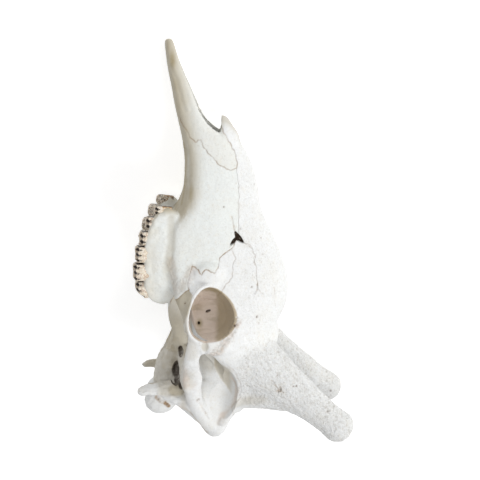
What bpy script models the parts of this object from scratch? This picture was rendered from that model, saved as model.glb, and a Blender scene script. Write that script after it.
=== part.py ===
"""A life-size giraffe cranium without its lower jaw: bleached bones and cheek teeth, as museums show it.

The bones are shaped in the skull's own frame, in millimetres: X runs towards the forehead, Y towards the muzzle
and Z out of the animal's left side. The finished skull is then laid on its right side, as it rests on a table.
"""

import math

import bmesh
import bpy
import numpy as np
from mathutils import Matrix, Vector

MM = 0.001
SIDES = {"left": 1, "right": -1}

# How finely the bone is fused, how softly its pieces flow together, and how many facets it keeps.
VOXEL = 2.0
FLOW = 60.0
EDGE_FLOW = 9.0
BONE_FACETS = 8200

# The seam between two bones, and a distance that is clear of the skull on every side.
SEAM = 0.36
CLEAR = 400.0

# Sections of the face and brow across the skull: place along it, forehead, palate, height of the widest point,
# half width, and the squareness of the upper and lower curves.
FACE = (
    (429, -66, -77, -71, 14, 2.2, 2.2),
    (418, -62, -77, -70, 21, 3.0, 2.6),
    (390, -53, -74, -65, 24, 4.0, 2.6),
    (356, -38, -68, -56, 26, 4.5, 2.6),
    (325, -23, -63, -48, 28, 4.5, 2.8),
    (303, -10, -58, -42, 30, 4.0, 2.8),
    (284, 11, -54, -36, 33, 3.4, 2.8),
    (267, 38, -51, -30, 37, 2.6, 2.8),
    (236, 58, -48, -24, 43, 2.2, 2.8),
    (193, 70, -51, -22, 51, 2.1, 2.8),
    (160, 75, -64, -26, 57, 2.1, 3.0),
    (127, 88, -84, -30, 65, 2.1, 4.5),
    (94, 103, -90, -28, 71, 2.1, 5.0),
    (60, 116, -88, -14, 83, 2.1, 3.6),
    (35, 121, -82, -4, 93, 2.0, 2.9),
    (12, 121, -56, 2, 99, 1.95, 2.0),
    (-10, 116, -46, 4, 104, 1.9, 2.0),
    (-35, 105, -44, 4, 112, 1.9, 2.0),
    (-60, 106, -38, 6, 111, 2.0, 2.0),
    (-90, 98, -14, 30, 99, 2.3, 2.0),
    (-120, 92, 2, 38, 90, 2.4, 2.0),
    (-150, 76, 6, 34, 80, 2.4, 2.0),
    (-178, 48, 5, 26, 68, 2.4, 2.0),
)
NASAL_TIPS = (
    (309, 18, 9, 13, 4, 2.0, 2.0),
    (302, 24, 8, 13, 13, 2.0, 3.0),
    (290, 31, 8, 14, 21, 2.0, 3.0),
    (278, 39, 8, 14, 27, 2.0, 3.0),
    (250, 46, 10, 14, 27, 2.0, 3.0),
)
OCCIPUT = (
    (-120, 60, -70, -16, 60, 2.2, 2.2),
    (-150, 66, -82, -16, 72, 2.3, 2.4),
    (-172, 56, -70, -10, 74, 2.3, 2.3),
    (-188, 38, -53, -6, 72, 2.3, 2.3),
    (-204, 26, -35, -3, 66, 2.2, 2.2),
    (-218, 21, -26, -2, 57, 2.1, 2.1),
    (-229, 15, -20, -2, 44, 2.0, 2.0),
)

# Seams seen from the side: along the forehead and along the muzzle.
PREMAXILLA_SEAM = ((-58, 313), (-47, 292), (-31, 270), (-22, 273), (-8, 250), (7, 235), (24, 226), (36, 229))
NASAL_SEAM = ((9, 300), (14, 284), (25, 267), (33, 249), (36, 229))
NASAL_BACK = (
    (39, 202), (38, 176), (37, 122), (46, 114), (59, 103), (64, 90), (66, 62), (68, 41), (75, 30), (92, 26), (160, 26),
)
MAXILLA_SEAM = (
    (37, 122), (27, 104), (8, 92), (4, 79), (-2, 70), (-15, 76), (-22, 67), (-36, 78), (-44, 50), (-42, 43),
)
CHEEKBONE_SEAM = ((-42, 43), (-71, 18), (-77, 2))
LACRIMAL = ((27, 104), (33, 87), (28, 79), (28, 60), (10, 43), (0, 15), (-24, 15), (-36, 34), (-42, 43)) + (
    MAXILLA_SEAM[-2:1:-1]
)
CHEEKBONE = (
    (-42, 43), (-36, 34), (-24, 12), (-16, -20), (-14, -62), (-14, -74), (-62, -86), (-110, -70), (-110, 6), (-77, 2),
    (-71, 18),
)
# The inner planes of the cheekbone and the lacrimal: height at the origin, its rise along X and along Y.
CHEEKBONE_INSIDE = (102.6, 0.55, -0.1)
LACRIMAL_INSIDE = (44, 0, 0)
PALATINE = ((-44, 70), (-40, -10), (-36, -74), (-130, -84), (-130, 40), (-110, 40))
FRONTAL = (
    (-60, 150), (140, 150), (140, -260), (36, -260), (30, -185), (25, -164), (39, -142), (41, -117), (32, -93),
    (10, -71), (-14, -62), (-30, -30), (-40, -10), (-60, 60),
)

# The eye socket from outside to its floor: step along the skull's width, share of the rim, shift back and down.
SOCKET = ((60, 1.0, 0, 0), (2, 0.98, 0, 0), (-4, 0.93, 0, 0), (-26, 0.93, 2, 6), (-44, 0.8, 5, 9), (-57, 0.5, 9, 9))

# Where the ossicones are parted from the brow, and the drum that parts them: its radius and its reach past the tip.
OSSICONE_FOOT = (96, -119, 64)
OSSICONE_TIP = (201, -193, 88)
HORN_REACH = 56
HORN_END = 60

# The cheek teeth from front to back: length along the row, width, height above the gum, lobes.
TEETH = (
    (17, 18, 16, 1),
    (23, 22, 19, 1),
    (24, 25, 21, 1),
    (28, 29, 23, 2),
    (30, 31, 25, 2),
    (30, 29, 23, 2),
)
ROW_FRONT = 171

# The necks of the teeth, as points along the skull, then the depth of a root, the swell of a rib on the cheek side,
# the cleft between lobes, the height of a cusp, the depth of the worn basin and the overlap of one tooth with the next.
GUM_LINE = ((-74, 176, 42), (-84, 158, 44), (-95, 136, 47), (-104, 108, 51), (-107, 80, 53), (-108, 50, 54), (-104, 18, 52))
ROOT = 13
RIB = 1.6
CLEFT = 0.2
CUSP = 3.0
BASIN = 4.0
TOUCH = 1.0
TOOTH_CORNERS = 20

# The skull's lie on the table: turns about X, Y and Z in degrees, then the place of its own origin in millimetres.
REST_TURNS = (-13.9756, 12.2851, -3.0313)
REST_PLACE = (-46.822, -90.057, 103.375)

# Edges sharper than this, in degrees, stay crisp.
SHARP = 48

# Colour and roughness of each kind of bone.
LOOKS = {
    "bone": ((0.78, 0.76, 0.70), 0.62),
    "premaxilla": ((0.74, 0.70, 0.60), 0.58),
    "maxilla": ((0.77, 0.74, 0.66), 0.6),
    "palatine": ((0.62, 0.57, 0.48), 0.68),
}


def curve_through(rows, count):
    """Rows of sizes read from a smooth curve through the given rows."""
    rows = np.array(rows, float)
    ends = np.vstack([2 * rows[0] - rows[1], rows, 2 * rows[-1] - rows[-2]])
    spans = len(rows) - 1
    made = []
    for t in np.linspace(0, spans, count):
        i = min(int(t), spans - 1)
        a, b, c, d = ends[i : i + 4]
        u = t - i
        bend = (2 * a - 5 * b + 4 * c - d) * u**2 + (3 * b - a - 3 * c + d) * u**3
        made.append(0.5 * (2 * b + (c - a) * u + bend))
    return np.array(made)


def power(value, exponent):
    return np.sign(value) * np.abs(value) ** exponent


def section(y, top, bottom, wide_at, half_width, square_top, square_bottom, corners=48):
    """One closed section across the skull."""
    turn = np.linspace(0, 2 * math.pi, corners, endpoint=False)
    up, out = np.sin(turn), np.cos(turn)
    square = np.where(up > 0, square_top, square_bottom)
    height = np.where(up > 0, top - wide_at, wide_at - bottom)
    x = wide_at + height * power(up, 2 / square)
    z = half_width * power(out, 2 / square)
    return np.column_stack([x, np.full(corners, y), z])


def new_object(name, mesh):
    made = bpy.data.objects.new(name, mesh)
    bpy.context.scene.collection.objects.link(made)
    return made


def closed_object(name, shape):
    bmesh.ops.recalc_face_normals(shape, faces=shape.faces)
    mesh = bpy.data.meshes.new(name)
    shape.to_mesh(mesh)
    shape.free()
    return new_object(name, mesh)


def loft(name, rings):
    """A closed solid through rings of points, in millimetres."""
    corners = len(rings[0])
    shape = bmesh.new()
    loops = [[shape.verts.new(Vector(p) * MM) for p in ring] for ring in rings]
    for near, far in zip(loops, loops[1:]):
        for i in range(corners):
            j = (i + 1) % corners
            shape.faces.new((near[i], near[j], far[j], far[i]))
    shape.faces.new(loops[0][::-1])
    shape.faces.new(loops[-1])
    return closed_object(name, shape)


def trunk(name, table, per_span=4):
    rows = curve_through(table, per_span * (len(table) - 1) + 1)
    return loft(name, [section(*row) for row in rows])


def limb(name, stations, side=1, across=(0, 0, 1), square=2.0, corners=20, per_span=5):
    """A rounded bar along a path. Each station is x, y, z, the half size across and the half size square to that."""
    rows = curve_through(stations, per_span * (len(stations) - 1) + 1)
    path = rows[:, :3] * (1, 1, side)
    wide = Vector((across[0], across[1], across[2] * side))
    along = np.gradient(path, axis=0)
    turn = np.linspace(0, 2 * math.pi, corners, endpoint=False)
    out, up = power(np.cos(turn), 2 / square), power(np.sin(turn), 2 / square)
    first, last = Vector(along[0]).normalized(), Vector(along[-1]).normalized()
    rings = []

    def ring(centre, direction, half_wide, half_thick):
        thick = direction.cross(wide).normalized()
        flat = thick.cross(direction).normalized()
        rings.append(np.array(centre) + np.outer(out * half_wide, flat) + np.outer(up * half_thick, thick))

    for angle in (80, 55, 28):
        back = min(rows[0, 3:]) * math.sin(math.radians(angle))
        ring(Vector(path[0]) - first * back, first, *(rows[0, 3:] * math.cos(math.radians(angle))))
    for centre, direction, row in zip(path, along, rows):
        ring(centre, Vector(direction).normalized(), *row[3:])
    for angle in (28, 55, 80):
        on = min(rows[-1, 3:]) * math.sin(math.radians(angle))
        ring(Vector(path[-1]) + last * on, last, *(rows[-1, 3:] * math.cos(math.radians(angle))))
    return loft(name, rings)


def ball(name, centre, radii, side=1, turns=(0, 0, 0)):
    """An ellipsoid, turned about X, Y and Z in degrees and mirrored with its side."""
    shape = bmesh.new()
    bmesh.ops.create_icosphere(shape, subdivisions=4, radius=1)
    turn_x, turn_y, turn_z = (math.radians(a) for a in turns)
    matrix = (
        Matrix.Translation(Vector(centre) * MM)
        @ Matrix.Rotation(turn_z, 4, "Z")
        @ Matrix.Rotation(turn_y, 4, "Y")
        @ Matrix.Rotation(turn_x, 4, "X")
        @ Matrix.Diagonal((radii[0] * MM, radii[1] * MM, radii[2] * MM, 1))
    )
    bmesh.ops.transform(shape, matrix=Matrix.Diagonal((1, 1, side, 1)) @ matrix, verts=shape.verts)
    return closed_object(name, shape)


def prism(name, outline, inner, side=1, grow=0.0):
    """A slab with a given outline seen from the side, from its inner plane outwards to clear of the skull."""
    outline = grown(np.array(outline, float), grow)
    out, per_x, per_y = inner
    near = [(x, y, (out + per_x * x + per_y * y - grow) * side) for x, y in outline]
    far = [(x, y, (CLEAR + grow) * side) for x, y in outline]
    return loft(name, [near, far])


def grown(outline, width):
    """The outline moved outwards by a width."""
    following, before = np.roll(outline, -1, axis=0), np.roll(outline, 1, axis=0)
    area = np.sum(outline[:, 0] * following[:, 1] - following[:, 0] * outline[:, 1])
    turn = 1 if area > 0 else -1

    def outward(start, end):
        run = end - start
        return turn * np.column_stack([run[:, 1], -run[:, 0]]) / np.linalg.norm(run, axis=1)[:, None]

    a, b = outward(before, outline), outward(outline, following)
    corner = (a + b) / np.maximum(1 + np.sum(a * b, axis=1), 0.4)[:, None]
    return outline + corner * width


def settled(obj):
    """The object with its modifiers applied."""
    bpy.context.view_layer.update()
    mesh = bpy.data.meshes.new_from_object(obj.evaluated_get(bpy.context.evaluated_depsgraph_get()))
    obj.modifiers.clear()
    obj.data = mesh
    return obj


def fused(name, pieces, flow):
    """Pieces melted into one closed bone."""
    shape = bmesh.new()
    for piece in pieces:
        shape.from_mesh(piece.data)
        bpy.data.objects.remove(piece)
    made = closed_object(name, shape)
    melt = made.modifiers.new("melt", "REMESH")
    melt.mode = "VOXEL"
    melt.voxel_size = VOXEL * MM
    soften = made.modifiers.new("soften", "SMOOTH")
    soften.factor = 0.5
    soften.iterations = max(1, round(flow / VOXEL**2))
    return settled(made)


def combined(bone, operation, tools):
    """The bone after one Boolean with all the tools, which are used up."""
    held = bpy.data.collections.new("tools")
    for tool in tools:
        held.objects.link(tool)
    cut = bone.modifiers.new("cut", "BOOLEAN")
    cut.operation = operation
    cut.operand_type = "COLLECTION"
    cut.collection = held
    # The exact solver takes about six times as long on this many facets.
    cut.solver = "MANIFOLD"
    settled(bone)
    for tool in tools:
        bpy.data.objects.remove(tool)
    bpy.data.collections.remove(held)
    return bone


def largest(obj):
    """The object with only its largest closed surface kept."""
    shape = bmesh.new()
    shape.from_mesh(obj.data)
    left = set(shape.verts)
    groups = []
    while left:
        start = left.pop()
        group, stack = [start], [start]
        while stack:
            for edge in stack.pop().link_edges:
                for vert in edge.verts:
                    if vert in left:
                        left.remove(vert)
                        group.append(vert)
                        stack.append(vert)
        groups.append(group)
    groups.sort(key=len)
    bmesh.ops.delete(shape, geom=[v for group in groups[:-1] for v in group], context="VERTS")
    shape.to_mesh(obj.data)
    shape.free()
    return obj


def both(make):
    """The pieces that a function makes for the left and the right side."""
    return [piece for side in SIDES.values() for piece in make(side)]


def tooth_bearing(side):
    """The deep ridge of the upper jaw that holds the cheek teeth."""
    return [
        limb(
            "alveolar_ridge",
            (
                (-70, 157, 44, 9, 15),
                (-80, 145, 46, 11.5, 18),
                (-88, 125, 50, 12, 20),
                (-94, 100, 52.5, 12.5, 20),
                (-95, 75, 53.5, 13, 20),
                (-95, 50, 54, 13, 20),
                (-92, 32, 53, 12, 19),
                (-80, 20, 49, 9, 14),
            ),
            side,
            square=4.5,
        ),
    ]


def rim_point(angle, scale=1.0):
    """A point of the left eye socket's rim, a little egg-shaped with its narrow end towards the muzzle."""
    along, up = math.cos(angle), math.sin(angle)
    y = 6 + 42.5 * along * scale
    x = -4 - 6 * along**2 + 38 * up * (1 - 0.2 * along) * scale
    z = 111 - 11 * along + 3 * up
    return x, y, z


def eye_socket_rim(side):
    stations = []
    for degrees in np.linspace(-200, 20, 12):
        x, y, z = rim_point(math.radians(degrees), 1.06)
        sunk = 3 + 13 * (abs(degrees + 90) / 110) ** 3
        stations.append((x, y, z - sunk, 5, 5))
    rim = limb("orbit_rim", stations, side, per_span=3, corners=14)
    return [rim, ball("tear_bone", (-10, 48, 70), (34, 36, 17), side, (14, 0, 0))]


def cheek_arch(side):
    """Cheekbone, the bar behind the eye socket, and the arch back to the jaw joint."""
    return [
        limb("cheek", ((-54, 50, 60, 14, 20), (-47, 28, 79, 11, 18), (-41, 2, 95, 7, 13), (-38, -22, 105, 6, 12)), side),
        limb(
            "arch",
            (
                (-34, -20, 108, 5, 9),
                (-34, -45, 111, 5.5, 13),
                (-36, -75, 107, 6, 16),
                (-37, -100, 98, 7, 16),
                (-38, -125, 88, 10, 15),
                (-34, -150, 77, 12, 14),
                (-22, -176, 68, 13, 15),
                (-6, -198, 58, 13, 16),
            ),
            side,
        ),
        limb("bar", ((40, -40, 97, 10, 15), (12, -45, 110, 7, 14), (-12, -45, 113, 6, 13), (-34, -42, 110, 6, 11)), side),
        limb("jaw_joint", ((-46, -108, 97, 20, 8), (-49, -106, 72, 25, 9), (-50, -98, 36, 34, 13)), side, (0, 1, 0), 3.0),
    ]


def temple_ridge(side):
    """The low ridge that bounds the temple towards the horn."""
    return [limb("temple_ridge", ((34, -148, 80, 5, 7), (24, -166, 78, 5, 7), (10, -192, 70, 6, 8)), side)]


def ossicone(side):
    return [
        limb(
            "ossicone",
            (
                (58, -92, 52, 44, 52),
                (89, -113, 61, 35, 45),
                (120, -133, 70, 27, 36),
                (150, -153, 78, 22.5, 29),
                (180, -176, 84, 21.5, 25.5),
                (201, -193, 88, 23, 27.5),
            ),
            side,
        ),
        limb("ossicone_root", ((34, -150, 56, 24, 20), (72, -146, 62, 24, 22), (112, -150, 68, 20, 22)), side),
    ]


def back_of_skull(side):
    return [
        ball("condyle", (-93, -167, 26), (27, 24, 19), side, (0, 0, 10)),
        limb(
            "jugular_process",
            ((-60, -138, 52, 15, 16), (-90, -136, 55, 10, 13), (-112, -137, 57, 8, 12), (-126, -140, 58, 6.5, 10)),
            side,
        ),
        limb("nape_ridge", ((-92, -138, 56, 8, 10), (-68, -150, 64, 9, 10), (-40, -160, 70, 10, 12)), side),
        limb(
            "wing",
            (
                (-58, 26, 46, 8, 20),
                (-60, -14, 44, 7, 18),
                (-58, -50, 38, 6, 13),
                (-67, -84, 30, 7, 14),
                (-80, -110, 24, 8, 16),
            ),
            side,
        ),
    ]


def braincase():
    return [
        ball("brain", (8, -112, 0), (70, 86, 61)),
        trunk("occiput", OCCIPUT),
        limb(
            "skull_base",
            (
                (-34, 34, 0, 45, 24),
                (-42, -20, 0, 42, 24),
                (-60, -70, 0, 33, 22),
                (-78, -115, 0, 29, 24),
                (-84, -155, 0, 30, 24),
            ),
        ),
    ]


def nasal_channel():
    rows = (
        (440, -40, -60, -50, 6, 4, 4),
        (400, -20, -60, -45, 9, 4, 4),
        (370, 0, -57, -40, 14, 4, 4),
        (340, 20, -53, -35, 20, 4, 4),
        (315, 50, -49, -30, 24, 4, 4),
    )
    tunnel = (
        (330, 10, -50, -30, 20, 2.4, 4),
        (306, 12, -46, -25, 24, 2.4, 4),
        (280, 27, -42, -20, 27, 2.2, 3),
        (250, 40, -38, -10, 32, 2.1, 2.6),
        (210, 57, -36, -5, 38, 2.1, 2.4),
        (170, 56, -40, -5, 38, 2.0, 2.2),
        (135, 40, -40, 0, 26, 2.0, 2.0),
    )
    return [trunk("channel", rows), trunk("tunnel", tunnel)]


def hollows(side):
    """Eye socket, temple, the space behind the cheek teeth."""
    rings = []
    for out, scale, back, down in SOCKET:
        ring = []
        for angle in np.linspace(0, 2 * math.pi, 32, endpoint=False):
            x, y, z = rim_point(angle, scale)
            ring.append((x - down, y - back, (z + out) * side))
        rings.append(ring)
    return [
        loft("eye_socket", rings),
        ball("temple", (9, -142, 118), (30, 57, 60), side, (0, 0, -5)),
        ball("temple_corner", (-3, -98, 118), (19, 46, 58), side, (0, 0, 22)),
        ball("behind_teeth", (-88, -48, 94), (35, 62, 52), side),
        ball("palatine_slit", (-66, 345, 9), (20, 42, 4.5), side),
        ball("ear_gap", (-66, -112, 50), (11, 19, 20), side, (0, 0, -8)),
        ball("oval_hole", (-58, -73, 52), (4.5, 7, 16), side),
        ball("face_gap", (37, 119, 58), (6, 8, 13), side, (0, 0, 30)),
        ball("nape_hollow", (-50, -226, 30), (17, 24, 20), side, (0, 0, 20)),
    ]


def openings():
    return [
        ball("choana", (-88, -18, 0), (34, 72, 24)),
        ball("foramen_magnum", (-60, -190, 0), (19, 40, 19)),
        ball("nose_notch", (22, 313, 0), (14, 12, 4.5)),
        ball("palate_vault", (-100, 90, 0), (34, 120, 32)),
    ]


def whole_skull():
    masses = [trunk("face", FACE), trunk("nasal_tips", NASAL_TIPS)]
    masses += braincase()
    for make in (tooth_bearing, eye_socket_rim, cheek_arch, temple_ridge, ossicone, back_of_skull):
        masses += both(make)
    skull = fused("skull", masses, FLOW)
    combined(skull, "DIFFERENCE", nasal_channel() + openings() + both(hollows))
    skull = largest(fused("skull", [skull], EDGE_FLOW))
    fewer = skull.modifiers.new("fewer", "DECIMATE")
    fewer.ratio = BONE_FACETS / (2 * len(skull.data.polygons))
    return settled(skull)


def crown_outline(length, width, lobes, corners):
    """A cheek tooth's outline along the row and across it: ribs on the cheek side, rounded lobes towards the tongue."""
    turn = np.linspace(0, 2 * math.pi, corners, endpoint=False)
    along = length / 2 * power(np.cos(turn), 0.55)
    out = width / 2 * power(np.sin(turn), 0.6)
    rib = 0.5 + 0.5 * np.cos(2 * math.pi * lobes * along / length + math.pi * lobes)
    out = np.where(out > 0, out + RIB * rib * np.sin(turn), out * (1 - CLEFT * rib))
    return along, out, rib


def tooth(place, length, width, height, lobes, side, lean):
    """One cheek tooth, from its root in the jaw to its worn, hollowed crown."""
    gum, middle, out_to = place
    rings = []
    for share, scale, wave in (
        (-ROOT / height, 0.7, 0),
        (0, 0.92, 0),
        (0.3, 0.99, 0),
        (0.75, 1.0, 0),
        (1, 0.96, CUSP),
        (1 - BASIN / height, 0.5, 0),
    ):
        along, out, rib = crown_outline(length * scale, width * scale, lobes, TOOTH_CORNERS)
        x = gum - height * share - wave * (0.5 - rib)
        y = middle + along + lean * height * share
        rings.append(np.column_stack([x, y, (out_to + out) * side]))
    return loft("tooth", rings)


def tooth_row(side):
    """The six cheek teeth of one side, each a little different."""
    vary = np.random.default_rng(7 + side)
    gums = curve_through(GUM_LINE, 200)
    start = ROW_FRONT
    made = []
    for length, width, height, lobes in TEETH:
        middle = start - length / 2
        x, y, z = gums[np.argmin(abs(gums[:, 1] - middle))]
        tall = height * vary.uniform(0.97, 1.04)
        wide = width * vary.uniform(0.97, 1.03)
        made.append(tooth((x, middle, z), length + TOUCH, wide, tall, lobes, side, vary.uniform(-0.03, 0.03)))
        start -= length
    return made


def copied(obj, name):
    return new_object(name, obj.data.copy())


def take(body, name, make_tool):
    """A bone cut out of the body along a thin seam. The tool is made twice: as it is, and wider by the seam."""
    part = combined(copied(body, name), "INTERSECT", [make_tool(0.0)])
    combined(body, "DIFFERENCE", [make_tool(SEAM)])
    return largest(part)


def halves(part, name):
    """The left and the right bone of a pair, parted along the middle of the skull."""
    outline = ((-CLEAR, -CLEAR), (CLEAR, -CLEAR), (CLEAR, 2 * CLEAR), (-CLEAR, 2 * CLEAR))
    made = {}
    for side_name, side in SIDES.items():
        half = copied(part, name + "_" + side_name)
        combined(half, "INTERSECT", [prism("half", outline, (SEAM / 2, 0, 0), side)])
        made[half.name] = largest(half)
    bpy.data.objects.remove(part)
    return made


def territory(outline, inner=(-CLEAR, 0, 0), side=1):
    return lambda grow: prism("territory", outline, inner, side, grow)


def horn_territory(side):
    """A drum around one ossicone, from its foot outwards."""
    foot, tip = Vector(OSSICONE_FOOT), Vector(OSSICONE_TIP)
    run = (tip - foot).normalized()

    def make(grow):
        start = foot - run * grow
        end = tip + run * HORN_END
        rings = []
        for middle in (start, end):
            flat = run.cross(Vector((0, 0, 1))).normalized()
            other = run.cross(flat)
            ring = []
            for angle in np.linspace(0, 2 * math.pi, 24, endpoint=False):
                point = middle + (flat * math.cos(angle) + other * math.sin(angle)) * (HORN_REACH + grow)
                ring.append((point.x, point.y, point.z * side))
            rings.append(ring)
        return loft("territory", rings)

    return make


def bones_of(skull):
    """The skull parted into its named bones."""
    bones = {}
    for side_name, side in SIDES.items():
        name = "ossicone_" + side_name
        bones[name] = take(skull, name, horn_territory(side))
    muzzle = PREMAXILLA_SEAM + NASAL_SEAM[::-1][1:] + ((9, 460), (-120, 460), (-120, 330))
    bones.update(halves(take(skull, "premaxilla", territory(muzzle)), "premaxilla"))
    nose = NASAL_SEAM + NASAL_BACK + ((160, 330), (9, 330))
    bones.update(halves(take(skull, "nasal", territory(nose)), "nasal"))
    for side_name, side in SIDES.items():
        for label, outline, inner in (
            ("cheekbone", CHEEKBONE, CHEEKBONE_INSIDE),
            ("lacrimal", LACRIMAL, LACRIMAL_INSIDE),
        ):
            name = label + "_" + side_name
            bones[name] = take(skull, name, territory(outline, inner, side))
    jaw = PREMAXILLA_SEAM + NASAL_BACK[:3] + MAXILLA_SEAM[1:] + CHEEKBONE_SEAM[1:] + ((-88, -6), (-160, -6), (-160, 330))
    bones.update(halves(take(skull, "maxilla", territory(jaw)), "maxilla"))
    bones.update(halves(take(skull, "palatine", territory(PALATINE)), "palatine"))
    bones["frontal"] = take(skull, "frontal", territory(FRONTAL))
    skull.name = "braincase"
    bones["braincase"] = largest(skull)
    for side_name, side in SIDES.items():
        maxilla = bones["maxilla_" + side_name]
        combined(maxilla, "UNION", tooth_row(side))
        largest(maxilla)
    return bones


def finish(bone, name):
    """Name, colour and shading of one bone, laid down where the skull rests."""
    colour, roughness = LOOKS.get(name.rsplit("_", 1)[0], LOOKS["bone"])
    material = bpy.data.materials.new(name)
    material.use_nodes = True
    surface = material.node_tree.nodes["Principled BSDF"]
    surface.inputs["Base Color"].default_value = (*colour, 1)
    surface.inputs["Roughness"].default_value = roughness
    surface.inputs["Metallic"].default_value = 0
    turn_x, turn_y, turn_z = (math.radians(a) for a in REST_TURNS)
    rest = (
        Matrix.Translation(Vector(REST_PLACE) * MM)
        @ Matrix.Rotation(turn_z, 4, "Z")
        @ Matrix.Rotation(turn_y, 4, "Y")
        @ Matrix.Rotation(turn_x, 4, "X")
    )
    shape = bmesh.new()
    shape.from_mesh(bone.data)
    bmesh.ops.transform(shape, matrix=rest, verts=shape.verts)
    for face in shape.faces:
        face.smooth = True
    for edge in shape.edges:
        edge.smooth = edge.calc_face_angle(0) < math.radians(SHARP)
    shape.to_mesh(bone.data)
    shape.free()
    bone.name = name
    bone.data.materials.clear()
    bone.data.materials.append(material)


def main():
    for old in list(bpy.data.objects):
        bpy.data.objects.remove(old)
    for name, bone in bones_of(whole_skull()).items():
        finish(bone, name)


main()
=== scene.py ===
"""The dressed giraffe skull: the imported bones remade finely, with sutures, cracks, rough bone and worn teeth.

Everything is shaped in the skull's own frame, in millimetres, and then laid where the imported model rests:
X runs towards the forehead, Y towards the muzzle and Z out of the animal's left side.
"""

import math

import bmesh
import bpy
import numpy as np
from mathutils import Matrix, Vector


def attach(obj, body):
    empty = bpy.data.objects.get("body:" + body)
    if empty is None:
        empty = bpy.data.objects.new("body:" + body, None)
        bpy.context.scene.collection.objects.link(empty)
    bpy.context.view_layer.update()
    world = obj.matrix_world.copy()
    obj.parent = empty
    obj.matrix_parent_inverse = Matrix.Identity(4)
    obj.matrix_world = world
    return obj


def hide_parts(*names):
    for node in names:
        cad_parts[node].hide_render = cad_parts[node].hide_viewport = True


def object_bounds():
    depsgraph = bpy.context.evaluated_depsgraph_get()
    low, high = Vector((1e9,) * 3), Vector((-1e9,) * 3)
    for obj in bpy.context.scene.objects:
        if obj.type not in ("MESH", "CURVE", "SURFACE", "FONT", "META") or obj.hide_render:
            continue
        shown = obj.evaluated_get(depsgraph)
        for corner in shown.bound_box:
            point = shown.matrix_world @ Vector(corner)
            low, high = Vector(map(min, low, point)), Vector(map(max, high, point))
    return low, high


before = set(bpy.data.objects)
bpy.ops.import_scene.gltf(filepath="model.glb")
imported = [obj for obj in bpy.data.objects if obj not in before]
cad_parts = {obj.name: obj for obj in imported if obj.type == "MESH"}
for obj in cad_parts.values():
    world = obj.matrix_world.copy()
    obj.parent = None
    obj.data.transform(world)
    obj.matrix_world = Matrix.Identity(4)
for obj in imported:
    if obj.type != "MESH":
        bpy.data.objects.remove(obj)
solid_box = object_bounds()

MM = 0.001
SIDES = {"left": 1, "right": -1}
# The facets of the fused bone, and how far its masses and then its cut edges melt, in square millimetres.
VOXEL = 1.15
FLOW = 60.0
EDGE_FLOW = 4.0
# The gap between two bones, the one round a horn, and a distance that is clear of the skull on every side.
SEAM = 0.2
HAIRLINE = 0.12
CLEAR = 400.0

# The skull's lie on the table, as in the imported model.
REST_TURNS = (-13.9756, 12.2851, -3.0313)
REST_PLACE = (-46.822, -90.057, 103.375)

# Sections of the face and brow across the skull: place along it, forehead, palate, height of the widest point,
# half width, and the squareness of the upper and lower curves.
FACE = (
    (429, -66, -77, -71, 14, 2.2, 2.2),
    (418, -62, -77, -70, 21, 3.0, 2.6),
    (390, -53, -74, -65, 24, 4.0, 2.6),
    (356, -38, -68, -56, 26, 4.5, 2.6),
    (325, -23, -63, -48, 28, 4.5, 2.8),
    (303, -10, -58, -42, 30, 4.0, 2.8),
    (284, 11, -54, -36, 33, 3.4, 2.8),
    (267, 38, -51, -30, 37, 2.6, 2.8),
    (236, 58, -48, -24, 43, 2.2, 2.8),
    (193, 70, -51, -22, 51, 2.1, 2.8),
    (160, 75, -64, -26, 57, 2.1, 3.0),
    (127, 88, -84, -30, 65, 2.1, 4.5),
    (94, 103, -90, -28, 71, 2.1, 5.0),
    (60, 116, -88, -14, 83, 2.1, 3.6),
    (35, 121, -82, -4, 93, 2.0, 2.9),
    (12, 121, -56, 2, 99, 1.95, 2.0),
    (-10, 116, -46, 4, 104, 1.9, 2.0),
    (-35, 105, -44, 4, 112, 1.9, 2.0),
    (-60, 106, -38, 6, 111, 2.0, 2.0),
    (-90, 98, -14, 30, 99, 2.3, 2.0),
    (-120, 92, 2, 38, 90, 2.4, 2.0),
    (-150, 76, 6, 34, 80, 2.4, 2.0),
    (-178, 48, 5, 26, 68, 2.4, 2.0),
)
NASAL_TIPS = (
    (309, 18, 9, 13, 4, 2.0, 2.0),
    (302, 24, 8, 13, 13, 2.0, 3.0),
    (290, 31, 8, 14, 21, 2.0, 3.0),
    (278, 39, 8, 14, 27, 2.0, 3.0),
    (250, 46, 10, 14, 27, 2.0, 3.0),
)
OCCIPUT = (
    (-120, 60, -70, -16, 60, 2.2, 2.2),
    (-150, 66, -82, -16, 72, 2.3, 2.4),
    (-172, 56, -70, -10, 74, 2.3, 2.3),
    (-188, 38, -53, -6, 72, 2.3, 2.3),
    (-204, 26, -35, -3, 66, 2.2, 2.2),
    (-218, 21, -26, -2, 57, 2.1, 2.1),
    (-229, 15, -20, -2, 44, 2.0, 2.0),
)
CHANNEL = (
    (440, -40, -60, -50, 6, 4, 4),
    (400, -20, -60, -45, 9, 4, 4),
    (370, 0, -57, -40, 14, 4, 4),
    (340, 20, -53, -35, 20, 4, 4),
    (315, 50, -49, -30, 24, 4, 4),
)
TUNNEL = (
    (330, 10, -50, -30, 20, 2.4, 4),
    (306, 12, -46, -25, 24, 2.4, 4),
    (280, 27, -42, -20, 27, 2.2, 3),
    (250, 40, -38, -10, 32, 2.1, 2.6),
    (210, 57, -36, -5, 38, 2.1, 2.4),
    (170, 56, -40, -5, 38, 2.0, 2.2),
    (135, 40, -40, 0, 26, 2.0, 2.0),
)

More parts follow.
